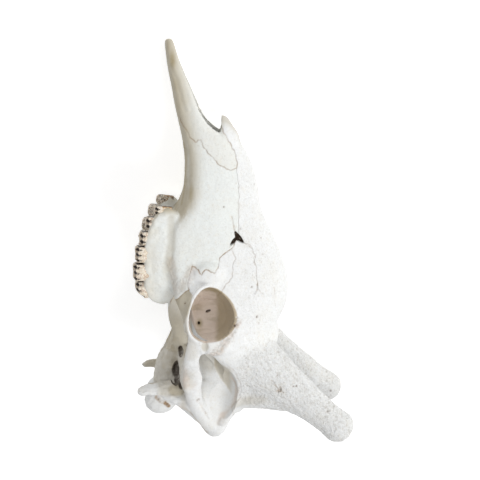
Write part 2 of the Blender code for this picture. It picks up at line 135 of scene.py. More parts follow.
# Seams seen from the side: along the forehead and along the muzzle.
PREMAXILLA_SEAM = ((-58, 313), (-47, 292), (-31, 270), (-22, 273), (-8, 250), (7, 235), (24, 226), (36, 229))
NASAL_SEAM = ((9, 300), (14, 284), (25, 267), (33, 249), (36, 229))
NASAL_BACK = (
    (39, 202), (38, 176), (37, 122), (46, 114), (59, 103), (64, 90), (66, 62), (68, 41), (75, 30), (92, 26), (160, 26),
)
MAXILLA_SEAM = (
    (37, 122), (27, 104), (8, 92), (4, 79), (-2, 70), (-15, 76), (-22, 67), (-36, 78), (-44, 50), (-42, 43),
)
CHEEKBONE_SEAM = ((-42, 43), (-71, 18), (-77, 2))
LACRIMAL_BACK = ((27, 104), (33, 87), (28, 79), (28, 60), (10, 43), (0, 15), (-24, 15), (-36, 34), (-42, 43))
LACRIMAL = LACRIMAL_BACK + MAXILLA_SEAM[-2:1:-1]
CHEEKBONE = (
    (-42, 43), (-36, 34), (-24, 12), (-16, -20), (-14, -62), (-14, -74), (-62, -86), (-110, -70), (-110, 6), (-77, 2),
    (-71, 18),
)
# The inner planes of two bones: how far out they lie, and how much further for each millimetre of X and of Y.
CHEEKBONE_INSIDE = (102.6, 0.55, -0.1)
LACRIMAL_INSIDE = (44, 0, 0)
PALATINE = ((-44, 70), (-40, -10), (-36, -74), (-130, -84), (-130, 40), (-110, 40))
FRONTAL = (
    (-60, 150), (140, 150), (140, -260), (36, -260), (30, -185), (25, -164), (39, -142), (41, -117), (32, -93),
    (10, -71), (-14, -62), (-30, -30), (-40, -10), (-60, 60),
)
OSSICONE_FOOT = (96, -119, 64)
OSSICONE_TIP = (201, -193, 88)
# The drum that parts a horn from the brow: its radius, and how far it goes on past the horn's tip.
HORN_REACH = 56
HORN_END = 60
# Rings of the eye socket: how far out, the scale of the rim's outline, and the shift to the nape and to the palate.
SOCKET = ((60, 1.0, 0, 0), (-5, 0.99, 0, 0), (-13, 0.95, 0, 1), (-28, 0.92, 2, 6), (-44, 0.8, 5, 9), (-57, 0.5, 9, 9))

# The cheek teeth from front to back: length along the row, width, height above the gum, lobes, and how oval the
# outline is, from square at 0 to oval at 1.
TEETH = (
    (17, 18, 16, 1, 1.0),
    (23, 22, 19, 1, 0.8),
    (24, 25, 21, 1, 0.74),
    (28, 29, 23, 2, 0.7),
    (30, 31, 25, 2, 0.7),
    (30, 29, 23, 2, 0.78),
)
# Where the row begins along the skull, the gum through the middle of the teeth, and how deep the roots sit.
ROW_FRONT = 171
GUM_LINE = (
    (-74, 176, 42), (-84, 158, 44), (-95, 136, 47), (-104, 108, 51), (-107, 80, 52), (-108, 50, 51), (-104, 18, 47),
)
ROOT = 13

# Deep holes: place, radii, turn about Z, and how dark their insides are painted, as the shade deep in them. They are
# the gap in front of the ear with its side hole, the oval hole of the skull base, and the slot and the pit on the inner
# wall of the eye socket.
HOLES = (
    ((-65.5, -114, 44), (8.5, 19.5, 25), -6, 1.0),
    ((-57, -127, 78), (5.5, 7, 28), 25, 0.9),
    ((-58, -73, 52), (4.8, 7.5, 19), 0, 0.9),
    ((-12, -3, 54), (1.6, 4.5, 9), -70, 1.0),
    ((-27, -21, 59), (2.2, 2.4, 7), 0, 1.0),
)

# The camera: its distance, the size of a pixel at the skull, the picture's width in pixels, where it aims, and how
# far it leans towards the muzzle and the palate in degrees.
CAMERA_DISTANCE = 1800.0
PIXEL = 1.65
PICTURE = 480
AIM = (41.25, 102.0, 0.0)
LEANS = (14.0, 1.5)

# Soft square lamps: their place from the skull's middle along the picture's right, up and towards the camera, their
# size in metres, and watts.
LAMPS = {
    "key": ((1.5, 0.9, 1.4), 0.6, 9.5),
    "low": ((1.1, -1.4, 1.4), 1.0, 21),
    "fill": ((-0.2, 0.0, 2.0), 0.8, 8),
}


def linear(code):
    """An sRGB hex colour as linear red, green, blue and alpha."""
    channels = [int(code[i : i + 2], 16) / 255 for i in (1, 3, 5)]
    return [c / 12.92 if c <= 0.04045 else ((c + 0.055) / 1.055) ** 2.4 for c in channels] + [1.0]


def ease(value, low, high):
    """0 below low, 1 above high and smooth between them, either way round."""
    t = np.clip((np.asarray(value, float) - low) / (high - low), 0, 1)
    return t * t * (3 - 2 * t)


def hump(value, middle, width):
    """1 in the middle, falling away smoothly to both sides."""
    return np.exp(-(((value - middle) / width) ** 2))


# Shapes.


def curve_through(rows, count):
    """Rows of sizes read from a smooth curve through the given rows."""
    rows = np.array(rows, float)
    ends = np.vstack([2 * rows[0] - rows[1], rows, 2 * rows[-1] - rows[-2]])
    spans = len(rows) - 1
    made = []
    for t in np.linspace(0, spans, count):
        i = min(int(t), spans - 1)
        a, b, c, d = ends[i : i + 4]
        u = t - i
        bend = (2 * a - 5 * b + 4 * c - d) * u**2 + (3 * b - a - 3 * c + d) * u**3
        made.append(0.5 * (2 * b + (c - a) * u + bend))
    return np.array(made)


def power(value, exponent):
    return np.sign(value) * np.abs(value) ** exponent


def section(y, top, bottom, wide_at, half_width, square_top, square_bottom, corners=64):
    """One closed section across the skull."""
    turn = np.linspace(0, 2 * math.pi, corners, endpoint=False)
    up, out = np.sin(turn), np.cos(turn)
    square = np.where(up > 0, square_top, square_bottom)
    height = np.where(up > 0, top - wide_at, wide_at - bottom)
    x = wide_at + height * power(up, 2 / square)
    z = half_width * power(out, 2 / square)
    return np.column_stack([x, np.full(corners, y), z])


def new_object(name, mesh):
    made = bpy.data.objects.new(name, mesh)
    bpy.context.scene.collection.objects.link(made)
    return made


def closed_object(name, shape):
    bmesh.ops.recalc_face_normals(shape, faces=shape.faces)
    mesh = bpy.data.meshes.new(name)
    shape.to_mesh(mesh)
    shape.free()
    return new_object(name, mesh)


def loft(name, rings):
    """A closed solid through rings of points, in millimetres."""
    corners = len(rings[0])
    shape = bmesh.new()
    loops = [[shape.verts.new(Vector(p) * MM) for p in ring] for ring in rings]
    for near, far in zip(loops, loops[1:]):
        for i in range(corners):
            j = (i + 1) % corners
            shape.faces.new((near[i], near[j], far[j], far[i]))
    shape.faces.new(loops[0][::-1])
    shape.faces.new(loops[-1])
    return closed_object(name, shape)


def trunk(name, table, per_span=6):
    rows = curve_through(table, per_span * (len(table) - 1) + 1)
    return loft(name, [section(*row) for row in rows])


def limb(name, stations, across=(0, 0, 1), square=2.0, corners=32, per_span=7, side=1):
    """A rounded bar along a path. Each station is x, y, z, the half size across and the half size square to that."""
    rows = curve_through(stations, per_span * (len(stations) - 1) + 1)
    path = rows[:, :3] * (1, 1, side)
    wide = Vector((across[0], across[1], across[2] * side))
    along = [Vector(step).normalized() for step in np.gradient(path, axis=0)]
    turn = np.linspace(0, 2 * math.pi, corners, endpoint=False)
    out, up = power(np.cos(turn), 2 / square), power(np.sin(turn), 2 / square)
    rings = []

    def ring(centre, direction, half_wide, half_thick):
        thick = direction.cross(wide).normalized()
        flat = thick.cross(direction).normalized()
        rings.append(np.array(centre) + np.outer(out * half_wide, flat) + np.outer(up * half_thick, thick))

    def rounded_end(at, way, angles):
        for angle in angles:
            beyond = way * min(rows[at, 3:]) * math.sin(math.radians(angle))
            ring(Vector(path[at]) + along[at] * beyond, along[at], *(rows[at, 3:] * math.cos(math.radians(angle))))

    rounded_end(0, -1, (80, 55, 28))
    for centre, direction, row in zip(path, along, rows):
        ring(centre, direction, *row[3:])
    rounded_end(-1, 1, (28, 55, 80))
    return loft(name, rings)


def placed(place, turns):
    """The matrix of a turn about X, Y and Z in degrees and then a move in millimetres."""
    turn_x, turn_y, turn_z = (math.radians(a) for a in turns)
    return (
        Matrix.Translation(Vector(place) * MM)
        @ Matrix.Rotation(turn_z, 4, "Z")
        @ Matrix.Rotation(turn_y, 4, "Y")
        @ Matrix.Rotation(turn_x, 4, "X")
    )


def ball(name, centre, radii, turns=(0, 0, 0), side=1):
    """An ellipsoid, turned and then mirrored with its side."""
    shape = bmesh.new()
    bmesh.ops.create_icosphere(shape, subdivisions=5 if max(radii) > 20 else 3, radius=1)
    matrix = placed(centre, turns) @ Matrix.Diagonal((*(radius * MM for radius in radii), 1))
    bmesh.ops.transform(shape, matrix=Matrix.Diagonal((1, 1, side, 1)) @ matrix, verts=shape.verts)
    return closed_object(name, shape)


def grown(outline, width):
    """The outline moved outwards by a width."""
    following, before = np.roll(outline, -1, axis=0), np.roll(outline, 1, axis=0)
    area = np.sum(outline[:, 0] * following[:, 1] - following[:, 0] * outline[:, 1])
    turn = 1 if area > 0 else -1

    def outward(start, end):
        run = end - start
        return turn * np.column_stack([run[:, 1], -run[:, 0]]) / np.linalg.norm(run, axis=1)[:, None]

    a, b = outward(before, outline), outward(outline, following)
    corner = (a + b) / np.maximum(1 + np.sum(a * b, axis=1), 0.4)[:, None]
    return outline + corner * width


def prism(name, outline, inner, side=1, grow=0.0):
    """A slab with a given outline seen from the side, from its inner plane outwards to clear of the skull."""
    outline = grown(np.array(outline, float), grow)
    out, per_x, per_y = inner
    near = [(x, y, (out + per_x * x + per_y * y - grow) * side) for x, y in outline]
    far = [(x, y, (CLEAR + grow) * side) for x, y in outline]
    return loft(name, [near, far])


def settled(obj):
    """The object with its modifiers applied."""
    bpy.context.view_layer.update()
    mesh = bpy.data.meshes.new_from_object(obj.evaluated_get(bpy.context.evaluated_depsgraph_get()))
    obj.modifiers.clear()
    obj.data = mesh
    return obj


def fused(name, pieces, flow):
    """Pieces melted into one closed bone."""
    shape = bmesh.new()
    for piece in pieces:
        shape.from_mesh(piece.data)
        bpy.data.objects.remove(piece)
    made = closed_object(name, shape)
    melt = made.modifiers.new("melt", "REMESH")
    melt.mode = "VOXEL"
    melt.voxel_size = VOXEL * MM
    soften = made.modifiers.new("soften", "SMOOTH")
    soften.factor = 0.5
    soften.iterations = max(1, round(flow / VOXEL**2))
    return settled(made)


def combined(bone, operation, tools):
    """The bone after one Boolean with all the tools, which are used up."""
    held = bpy.data.collections.new("tools")
    for tool in tools:
        held.objects.link(tool)
    cut = bone.modifiers.new("cut", "BOOLEAN")
    cut.operation = operation
    cut.operand_type = "COLLECTION"
    cut.collection = held
    # The exact solver would take minutes on this many facets.
    cut.solver = "MANIFOLD"
    settled(bone)
    for tool in tools:
        bpy.data.objects.remove(tool)
    bpy.data.collections.remove(held)
    return bone


def largest(obj):
    """The object with only its largest closed surface kept."""
    mesh = obj.data
    ends = np.empty(len(mesh.edges) * 2, np.int32)
    mesh.edges.foreach_get("vertices", ends)
    ends = ends.reshape(-1, 2)
    label = np.arange(len(mesh.vertices))
    while True:
        low = np.minimum(label[ends[:, 0]], label[ends[:, 1]])
        moved = label.copy()
        np.minimum.at(moved, ends[:, 0], low)
        np.minimum.at(moved, ends[:, 1], low)
        moved = moved[moved]
        if np.array_equal(moved, label):
            break
        label = moved
    names, sizes = np.unique(label, return_counts=True)
    if len(names) > 1:
        stray = np.flatnonzero(label != names[np.argmax(sizes)])
        shape = bmesh.new()
        shape.from_mesh(mesh)
        shape.verts.ensure_lookup_table()
        bmesh.ops.delete(shape, geom=[shape.verts[i] for i in stray], context="VERTS")
        shape.to_mesh(mesh)
        shape.free()
    return obj


# The masses of the skull and the hollows cut from them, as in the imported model.


def middle(rows):
    """The pieces of a table that lie along the middle of the skull."""
    return [make(name, *shape) for make, name, *shape in rows]


def both(rows):
    """The pieces of a table for the left and the right side."""
    return [make(name, *shape, side=side) for side in SIDES.values() for make, name, *shape in rows]


def rim_point(angle, scale=1.0):
    """A point of the left eye socket's rim, a little egg-shaped with its narrow end towards the muzzle."""
    along, up = math.cos(angle), math.sin(angle)
    y = 6 + 42.5 * along * scale
    x = -4 - 6 * along**2 + 38 * up * (1 - 0.2 * along) * scale
    z = 111 - 11 * along + 3 * up
    return x, y, z


def socket_rim():
    """Stations of the bar round the eye socket, which sinks in towards both ends."""
    stations = []
    for degrees in np.linspace(-200, 20, 12):
        x, y, z = rim_point(math.radians(degrees), 1.05)
        sunk = 2 + 13 * (abs(degrees + 90) / 110) ** 3
        stations.append((x, y, z - sunk, 4, 4))
    return stations


def eye_socket(name, side):
    """The hollow of one eye socket, ring by ring inwards."""
    rings = []
    for out, scale, back, down in SOCKET:
        rim = [rim_point(angle, scale) for angle in np.linspace(0, 2 * math.pi, 64, endpoint=False)]
        rings.append([(x - down, y - back, (z + out) * side) for x, y, z in rim])
    return loft(name, rings)


# A bar has its stations, the direction across it and how square it is. A ball has its middle, radii and turns.
ACROSS = (0, 0, 1)
MIDDLE_MASSES = (
    (trunk, "face", FACE),
    (trunk, "nasal_tips", NASAL_TIPS),
    (ball, "brain", (8, -112, 0), (70, 86, 61)),
    (trunk, "occiput", OCCIPUT),
    (limb, "skull_base", (
        (-34, 34, 0, 45, 24), (-42, -20, 0, 42, 24), (-60, -70, 0, 33, 22), (-78, -115, 0, 29, 24),
        (-84, -155, 0, 30, 24),
    )),
)
PAIRED_MASSES = (
    # The deep ridge of the upper jaw that holds the cheek teeth.
    ((limb, "alveolar_ridge", (
        (-70, 157, 44, 9, 15), (-80, 145, 46, 11.5, 18), (-88, 125, 50, 12, 20), (-94, 100, 52.5, 12.5, 20),
        (-95, 75, 53.5, 13, 20), (-95, 50, 54, 13, 20), (-92, 32, 53, 12, 19), (-80, 20, 49, 9, 14),
    ), ACROSS, 4.5),),
    # The rim of the eye socket, and the lacrimal bone in front of it.
    (
        (limb, "orbit_rim", socket_rim(), ACROSS, 2.0, 14, 3),
        (ball, "tear_bone", (-10, 48, 70), (34, 36, 17), (14, 0, 0)),
    ),
    # Cheekbone, the arch back to the jaw joint, and the bar behind the eye socket.
    (
        (limb, "cheek", ((-54, 50, 60, 14, 20), (-47, 28, 79, 11, 18), (-41, 2, 95, 7, 13), (-38, -22, 105, 6, 12))),
        (limb, "arch", (
            (-34, -20, 108, 5, 9), (-34, -45, 111, 5.5, 13), (-36, -75, 107, 6, 16), (-37, -100, 98, 7, 16),
            (-38, -125, 88, 10, 15), (-34, -150, 77, 12, 14), (-22, -176, 68, 13, 15), (-6, -198, 58, 13, 16),
        )),
        (limb, "bar", ((40, -40, 97, 10, 15), (12, -45, 110, 7, 14), (-12, -45, 113, 6, 13), (-34, -42, 110, 6, 11))),
        (limb, "jaw_joint", ((-46, -108, 97, 20, 8), (-49, -106, 72, 25, 9), (-50, -98, 36, 34, 13)), (0, 1, 0), 3.0),
    ),
    # The low ridge that bounds the temple towards the horn.
    ((limb, "temple_ridge", ((34, -148, 80, 5, 7), (24, -166, 78, 5, 7), (10, -192, 70, 6, 8))),),
    # The horn and its root.
    (
        (limb, "ossicone", (
            (58, -92, 52, 44, 52), (89, -113, 61, 35, 45), (120, -133, 70, 27, 36), (150, -153, 78, 22.5, 29),
            (180, -176, 84, 21.5, 25.5), (201, -193, 88, 23, 27.5),
        )),
        (limb, "ossicone_root", ((34, -150, 56, 24, 20), (72, -146, 62, 24, 22), (112, -150, 68, 20, 22))),
    ),
    # The back of the skull, and the wing behind the palate.
    (
        (ball, "condyle", (-93, -167, 26), (27, 24, 19), (0, 0, 10)),
        (limb, "jugular_process", (
            (-60, -138, 52, 16, 16), (-88, -135, 58, 13, 9), (-110, -135, 62, 11.5, 6.5), (-125, -138, 64, 8, 5),
        ), (0, 0.66, -0.75)),
        (limb, "nape_ridge", ((-92, -138, 56, 8, 10), (-68, -150, 64, 9, 10), (-40, -160, 70, 10, 12))),
        (limb, "wing", (
            (-58, 26, 46, 8, 20), (-60, -14, 44, 7, 18), (-58, -50, 38, 6, 13), (-67, -84, 30, 7, 14),
            (-80, -110, 24, 8, 16),
        )),
    ),
)
MIDDLE_HOLLOWS = (
    (trunk, "channel", CHANNEL),
    (trunk, "tunnel", TUNNEL),
    (ball, "choana", (-88, -18, 0), (34, 72, 24)),
    (ball, "foramen_magnum", (-60, -190, 0), (19, 40, 19)),
    (ball, "nose_notch", (22, 313, 0), (14, 12, 4.5)),
    (ball, "palate_vault", (-100, 90, 0), (34, 120, 32)),
)
PAIRED_HOLLOWS = (
    (eye_socket, "eye_socket"),
    (ball, "temple", (9, -142, 118), (30, 57, 60), (0, 0, -5)),
    (ball, "temple_corner", (-3, -98, 118), (19, 46, 58), (0, 0, 22)),
    (ball, "behind_teeth", (-88, -48, 94), (35, 62, 52)),
    (ball, "palatine_slit", (-66, 345, 9), (20, 42, 4.5)),
    (ball, "nape_hollow", (-50, -226, 30), (17, 24, 20), (0, 0, 20)),
    # The gap where maxilla, nasal and lacrimal meet: a three-cornered tear in the bone.
    (limb, "face_gap", (
        (32, 129, 55, 1.5, 8), (35, 123, 54, 3.5, 9), (39, 117, 54, 4.2, 9), (45, 111, 53, 1.5, 8),
    ), (0.75, 0.66, 0)),
    (limb, "face_gap_arm", (
        (36, 121, 55, 1.6, 8), (31, 117, 58, 2.3, 9), (28, 113, 60, 2.9, 9), (24, 108, 61, 1.2, 7),
    ), (0.9, -0.4, 0)),
    *((ball, "deep_hole", place, radii, (0, 0, turn)) for place, radii, turn, _ in HOLES),
    (ball, "cheek_hole", (-47, -24, 108), (1.8, 2.6, 6)),
    (ball, "muzzle_hole", (-44, 176, 54), (2.4, 5.5, 6), (0, 0, -20)),
)


def whole_skull():
    """The skull in one piece: its masses melted together, hollowed out, and its cut edges softened."""
    masses = middle(MIDDLE_MASSES)
    for group in PAIRED_MASSES:
        masses += both(group)
    skull = fused("skull", masses, FLOW)
    combined(skull, "DIFFERENCE", middle(MIDDLE_HOLLOWS) + both(PAIRED_HOLLOWS))
    return largest(fused("skull", [skull], EDGE_FLOW))


# Fine relief.

LATTICE = np.random.default_rng(11).uniform(-1, 1, 8192)


def grain(points, size, seed=0):
    """Smooth noise from -1 to 1 whose lumps are as large as size, in millimetres. A size may differ along X, Y, Z."""
    spot = np.asarray(points, float) / np.asarray(size, float)
    whole = np.floor(spot).astype(np.int64)
    part = spot - whole
    part = part * part * (3 - 2 * part)
    total = np.zeros(len(spot))
    for corner in range(8):
        step = np.array([corner & 1, corner >> 1 & 1, corner >> 2])
        cell = whole + step
        mixed = cell[:, 0] * 73856093 ^ cell[:, 1] * 19349663 ^ cell[:, 2] * 83492791 ^ seed * 2654435
        share = np.prod(np.where(step, part, 1 - part), axis=1)
        total += share * LATTICE[mixed & 8191]
    return total


def mottled(points, size, seed=0, octaves=3):
    """Noise in several sizes, each half as large and half as strong as the last."""
    total = sum(grain(points, np.asarray(size) / 2**k, seed + k) / 2**k for k in range(octaves))
    return total / (2 - 2 ** (1 - octaves))


def stepped(path, step, longest=math.inf):
    """Points a small step apart along a path, to its last one. A stretch as long as the longest stays whole."""
    path = np.array(path, float)
    fine = []
    for start, end in zip(path, path[1:]):
        length = np.linalg.norm(end - start)
        pieces = max(1, int(np.ceil(length / step))) if length < longest else 1
        fine += [start + (end - start) * k / pieces for k in range(pieces)]
    return np.array(fine + [path[-1]])


def wandered(points):
    """Points with the small zigzags of a suture. The same stretch of seam always wanders the same way."""
    flat = np.column_stack([points, np.zeros(len(points))])
    shift = [grain(flat, 3.6, seed) * 0.95 + grain(flat, 8.0, seed + 3) * 1.3 for seed in (31, 57)]
    return points + np.column_stack(shift)


def crooked(path):
    """A crack's path with small kinks between its points."""
    fine = stepped(path, 1.5)
    kinks = np.column_stack([grain(fine, 3.3, 91), grain(fine, 3.3, 92), 0 * fine[:, 0]])
    return fine + kinks * 0.9


def distance_to(points, path, reach):
    """Each point's distance from a line through the path's points, as far as reach. Works in two or three axes."""
    path = np.asarray(path, float)
    flat = points[:, : path.shape[1]]
    nearest = np.full(len(points), float(reach))

    def boxed(held, part):
        low, high = part.min(0) - reach, part.max(0) + reach
        return held[np.all((flat[held] > low) & (flat[held] < high), axis=1)]

    inside = np.flatnonzero(np.all((flat > path.min(0) - reach) & (flat < path.max(0) + reach), axis=1))
    for first in range(0, len(path) - 1, 8):
        stretch = path[first : first + 9]
        around_stretch = boxed(inside, stretch)
        for start, end in zip(stretch, stretch[1:]):
            close = boxed(around_stretch, np.array([start, end]))
            if not len(close):
                continue
            run = end - start
            share = np.clip((flat[close] - start) @ run / max(run @ run, 1e-9), 0, 1)
            gap = np.linalg.norm(flat[close] - start - share[:, None] * run, axis=1)
            nearest[close] = np.minimum(nearest[close], gap)
    return nearest


def near_path(points, path, full, none):
    """1 within full of a path and 0 from none outwards."""
    return 1 - ease(distance_to(points, path, none + 1), full, none)


def around(points, centre, radii):
    """1 at the centre of an ellipsoid and 0 at its surface and beyond."""
    gap = np.linalg.norm((points - centre) / np.asarray(radii, float), axis=1)
    return 1 - ease(gap, 0, 1)


# Sutures as seen from the side: the seam, how strongly it is stained, and how far out of the midplane it starts.
SUTURES = (
    (PREMAXILLA_SEAM, 0.55, 0),
    (NASAL_SEAM, 0.6, 0),
    (NASAL_BACK[:3], 0.2, 0),
    (NASAL_BACK[2:9], 0.3, 0),
    (MAXILLA_SEAM, 0.9, 30),
    (LACRIMAL_BACK[:5], 0.4, 44),
    (LACRIMAL_BACK[4:], 0.3, 44),
    (CHEEKBONE_SEAM, 0.9, 50),
    (((10, -71), (32, -93), (41, -117), (39, -142), (25, -164), (30, -185)), 0.25, 40),
)

# Fine cracks of the left side: points on the surface, width, depth, darkness. Each wanders between its points.
CRACKS = (
    (
        ((-99, -157, 42), (-97, -159, 43), (-93, -163, 44), (-88, -164, 44), (-83, -168, 43), (-79, -173, 41)),
        3.0, 1.8, 1.0,
    ),
    (((27, 153, 51), (29, 145, 53), (30, 134, 55), (32, 127, 56)), 1.1, 1.0, 0.6),
    (((45, 112, 55), (54, 105, 53), (61, 100, 52), (70, 97, 48)), 0.9, 0.8, 0.4),
    (((61, 92, 56), (62, 80, 59), (65, 70, 60), (67, 56, 66), (67, 43, 73), (63, 33, 79)), 1.0, 1.1, 0.5),
    (((67, 46, 72), (67, 40, 75), (63, 33, 79)), 1.2, 1.5, 0.9),
    (((95, 37, 56), (96, 21, 58), (95, 12, 60), (98, 2, 55)), 0.9, 0.6, 0.25),
    (((90, -108, 95), (97, -118, 95), (103, -124, 95)), 1.0, 1.2, 0.7),
    (((98, -127, 95), (102, -125, 95), (105, -127, 95), (109, -129, 95)), 1.7, 1.6, 0.8),
    (((104, -120, 95), (104, -126, 95)), 1.4, 1.6, 0.8),
    (((100, -96, 92), (97, -104, 92)), 1.4, 1.3, 0.6),
    (((-29, -143, 90), (-26, -149, 87), (-18, -168, 81), (-12, -182, 77)), 1.2, 1.6, 0.5),
    (((62, -30, 88), (66, -52, 92), (74, -70, 90)), 0.8, 0.5, 0.15),
    (((80, 60, 48), (84, 40, 56), (82, 22, 64)), 0.8, 0.5, 0.15),
    (((-10, 150, 52), (-14, 120, 56), (-12, 96, 66)), 0.8, 0.4, 0.1),
)

# Patches of spongy bone behind the eye socket, of rough bone in front of it, and of torn bone where the cheek meets
# the jaw.
SPONGY = ((34, -8, 98), (22, -28, 107), (4, -50, 117), (-8, -56, 116))
FRONT_RIM = ((2, 54, 94), (20, 46, 92), (33, 30, 92), (38, 10, 95))
CHEEK_SCAR = ((-70, 84, 68), (-66, 60, 72), (-62, 36, 78), (-50, 50, 84), (-38, 76, 80))

# The edge between the two facets of the temple.
FACET = ((-4, -96, 60), (5, -115, 60), (17, -132, 61), (25, -144, 72), (26, -156, 80))
# The lower border of the muzzle and the ridge along the premaxilla, seen from the side: along the muzzle, and along
# the forehead.
LOWER_EDGE = (
    (150, 172, 193, 236, 267, 284, 303, 325, 356, 390, 429),
    (-62, -56, -51, -48, -51, -54, -58, -63, -68, -74, -77),
)
MUZZLE_RIDGE = ((315, 322, 339, 367, 390, 430), (-58, -41, -47, -53, -64, -68))
# The edge of the temple towards the horn.
TEMPLE_EDGE = ((33, -112, 82), (37, -119, 88), (34, -143, 83), (26, -159, 82), (16, -174, 79), (10, -191, 74))

# Small holes: place, radius, depth, darkness.
PITS = (
    ((66, -4, 84), 1.5, 1.6, 0.8),
    ((69, -15, 83), 1.1, 1.2, 0.6),
    ((76, 90, 47), 1.3, 1.4, 0.6),
    ((74, 115, 38), 1.0, 1.0, 0.4),
    ((40, 133, 52), 1.0, 1.0, 0.5),
    ((58, 44, 77), 1.1, 1.2, 0.6),
    ((30, -13, 101), 2.0, 2.0, 0.7),
    ((33, -11, 100), 1.3, 1.4, 0.6),
    ((32, -85, 94), 1.6, 2.0, 0.7),
    ((48, -95, 96), 1.2, 1.4, 0.4),
    ((104, -124, 95), 1.7, 2.0, 0.8),
    ((101, -128, 95), 1.3, 1.6, 0.7),
    ((125, -119, 94), 1.1, 1.2, 0.6),
    ((130, -119, 93), 1.2, 1.4, 0.7),
    ((181, -160, 101), 1.6, 1.4, 0.5),
    ((180, -157, 101), 1.0, 1.2, 0.4),
    ((204, -192, -66), 1.6, 1.4, 0.5),
    ((63, 199, 17), 1.1, 1.0, 0.5),
    ((14, 169, 51), 1.1, 1.4, 0.5),
    ((-29, -143, 90), 2.0, 3.0, 0.9),
    ((-48, 22, 92), 1.3, 1.6, 0.7),
    ((-55, -22, 84), 1.6, 2.0, 0.8),
)


def side_view(points):
    """The points with both sides of the skull folded onto the left one."""
    return np.column_stack([points[:, 0], points[:, 1], np.abs(points[:, 2])])


def ridged(points, size, seed=0):
    """Noise with narrow winding crests, from -1 to 1."""
    return 1 - 4 * np.abs(grain(points, size, seed))


def horn_share(points):
    """How near a point is to the rough bone of the horns and the brow between them and the eye sockets."""
    folded = side_view(points)
    near_horn = 1 - ease(distance_to(folded, ((60, -88, 60), OSSICONE_FOOT, OSSICONE_TIP), 90), 42, 78)
    return near_horn * ease(folded[:, 0], 22, 46) * ease(-folded[:, 1], 26, 70)


def bone_grain(points):
    """The finest relief: furrows along the horns, spongy bone round the eye sockets and pores everywhere."""
    folded = side_view(points)
    rough = horn_share(points)
    run = np.array(OSSICONE_TIP, float) - OSSICONE_FOOT
    run /= np.linalg.norm(run)
    along = folded @ run
    across = folded - along[:, None] * run
    furrowed = np.column_stack([across[:, 0] / 2.8, across[:, 2] / 2.8, along / 11 + across[:, 1] / 5])
    horn = 0.62 * mottled(furrowed, 1, 13) + 0.22 * ridged(points, 3.4, 17) + 0.3 * grain(points, 2.3, 18)
    horn -= 0.6 * ease(grain(points, 4.0, 19), 0.5, 0.8)
    spongy = near_path(folded, SPONGY, 4, 13)
    torn = near_path(folded, CHEEK_SCAR, 4, 13)
    front = near_path(folded, FRONT_RIM, 3, 14)
    brow = np.maximum(ease(folded[:, 0], 26, 60) * (1 - rough), 1.6 * front)
    lift = rough * horn + (spongy + 0.6 * torn) * (0.9 * grain(points, 2.6, 23) + 0.4 * grain(points, 5.5, 29))
    return lift + 0.13 * grain(points, 3.0, 24) + brow * 0.28 * mottled(points, 4.2, 25)


def beyond_facet(folded):
    """1 on the temple's facet towards the horn and 0 on the one towards the cheek arch."""
    edge = np.array(FACET, float)[::-1]
    return ease(folded[:, 0] - np.interp(folded[:, 1], edge[:, 1], edge[:, 0]), 0, 3)


def broken(points, size, seed, share, spread=0.9, least=0.0, most=1.0):
    """How strongly a stain shows where noise breaks it up, around its usual share."""
    return np.clip(share + spread * mottled(points, size, seed), least, most)


def suture_marks(points, normals):
    """How strongly each point is stained by the sutures, and how deep it lies in their grooves."""
    folded = side_view(points)
    facing = ease(np.abs(normals[:, 2]) + np.abs(normals[:, 0]), 0.1, 0.4)
    stain, groove = np.zeros(len(points)), np.zeros(len(points))
    patchy = broken(points, 7, 71, 0.55, least=0.1)
    for seam, strength, inner in SUTURES:
        gap = distance_to(folded, wandered(stepped(seam, 1.2)), 7.0)
        there = ease(folded[:, 2], inner - 2, inner + 2) if inner else 1
        stain = np.maximum(stain, strength * patchy * (1 - ease(gap, 0.3, 1.5)) * there * facing)
        groove = np.maximum(groove, (1 - ease(gap, 0.0, 1.7)) * there * (0.1 + 0.9 * strength))
    return np.clip(stain, 0, 1), groove


def surface_of(mesh):
    """A mesh's points in millimetres, and which way it faces there."""
    points, normals = np.empty(len(mesh.vertices) * 3), np.empty(len(mesh.vertices) * 3)
    mesh.vertices.foreach_get("co", points)
    mesh.vertex_normals.foreach_get("vector", normals)
    return points.reshape(-1, 3) / MM, normals.reshape(-1, 3)


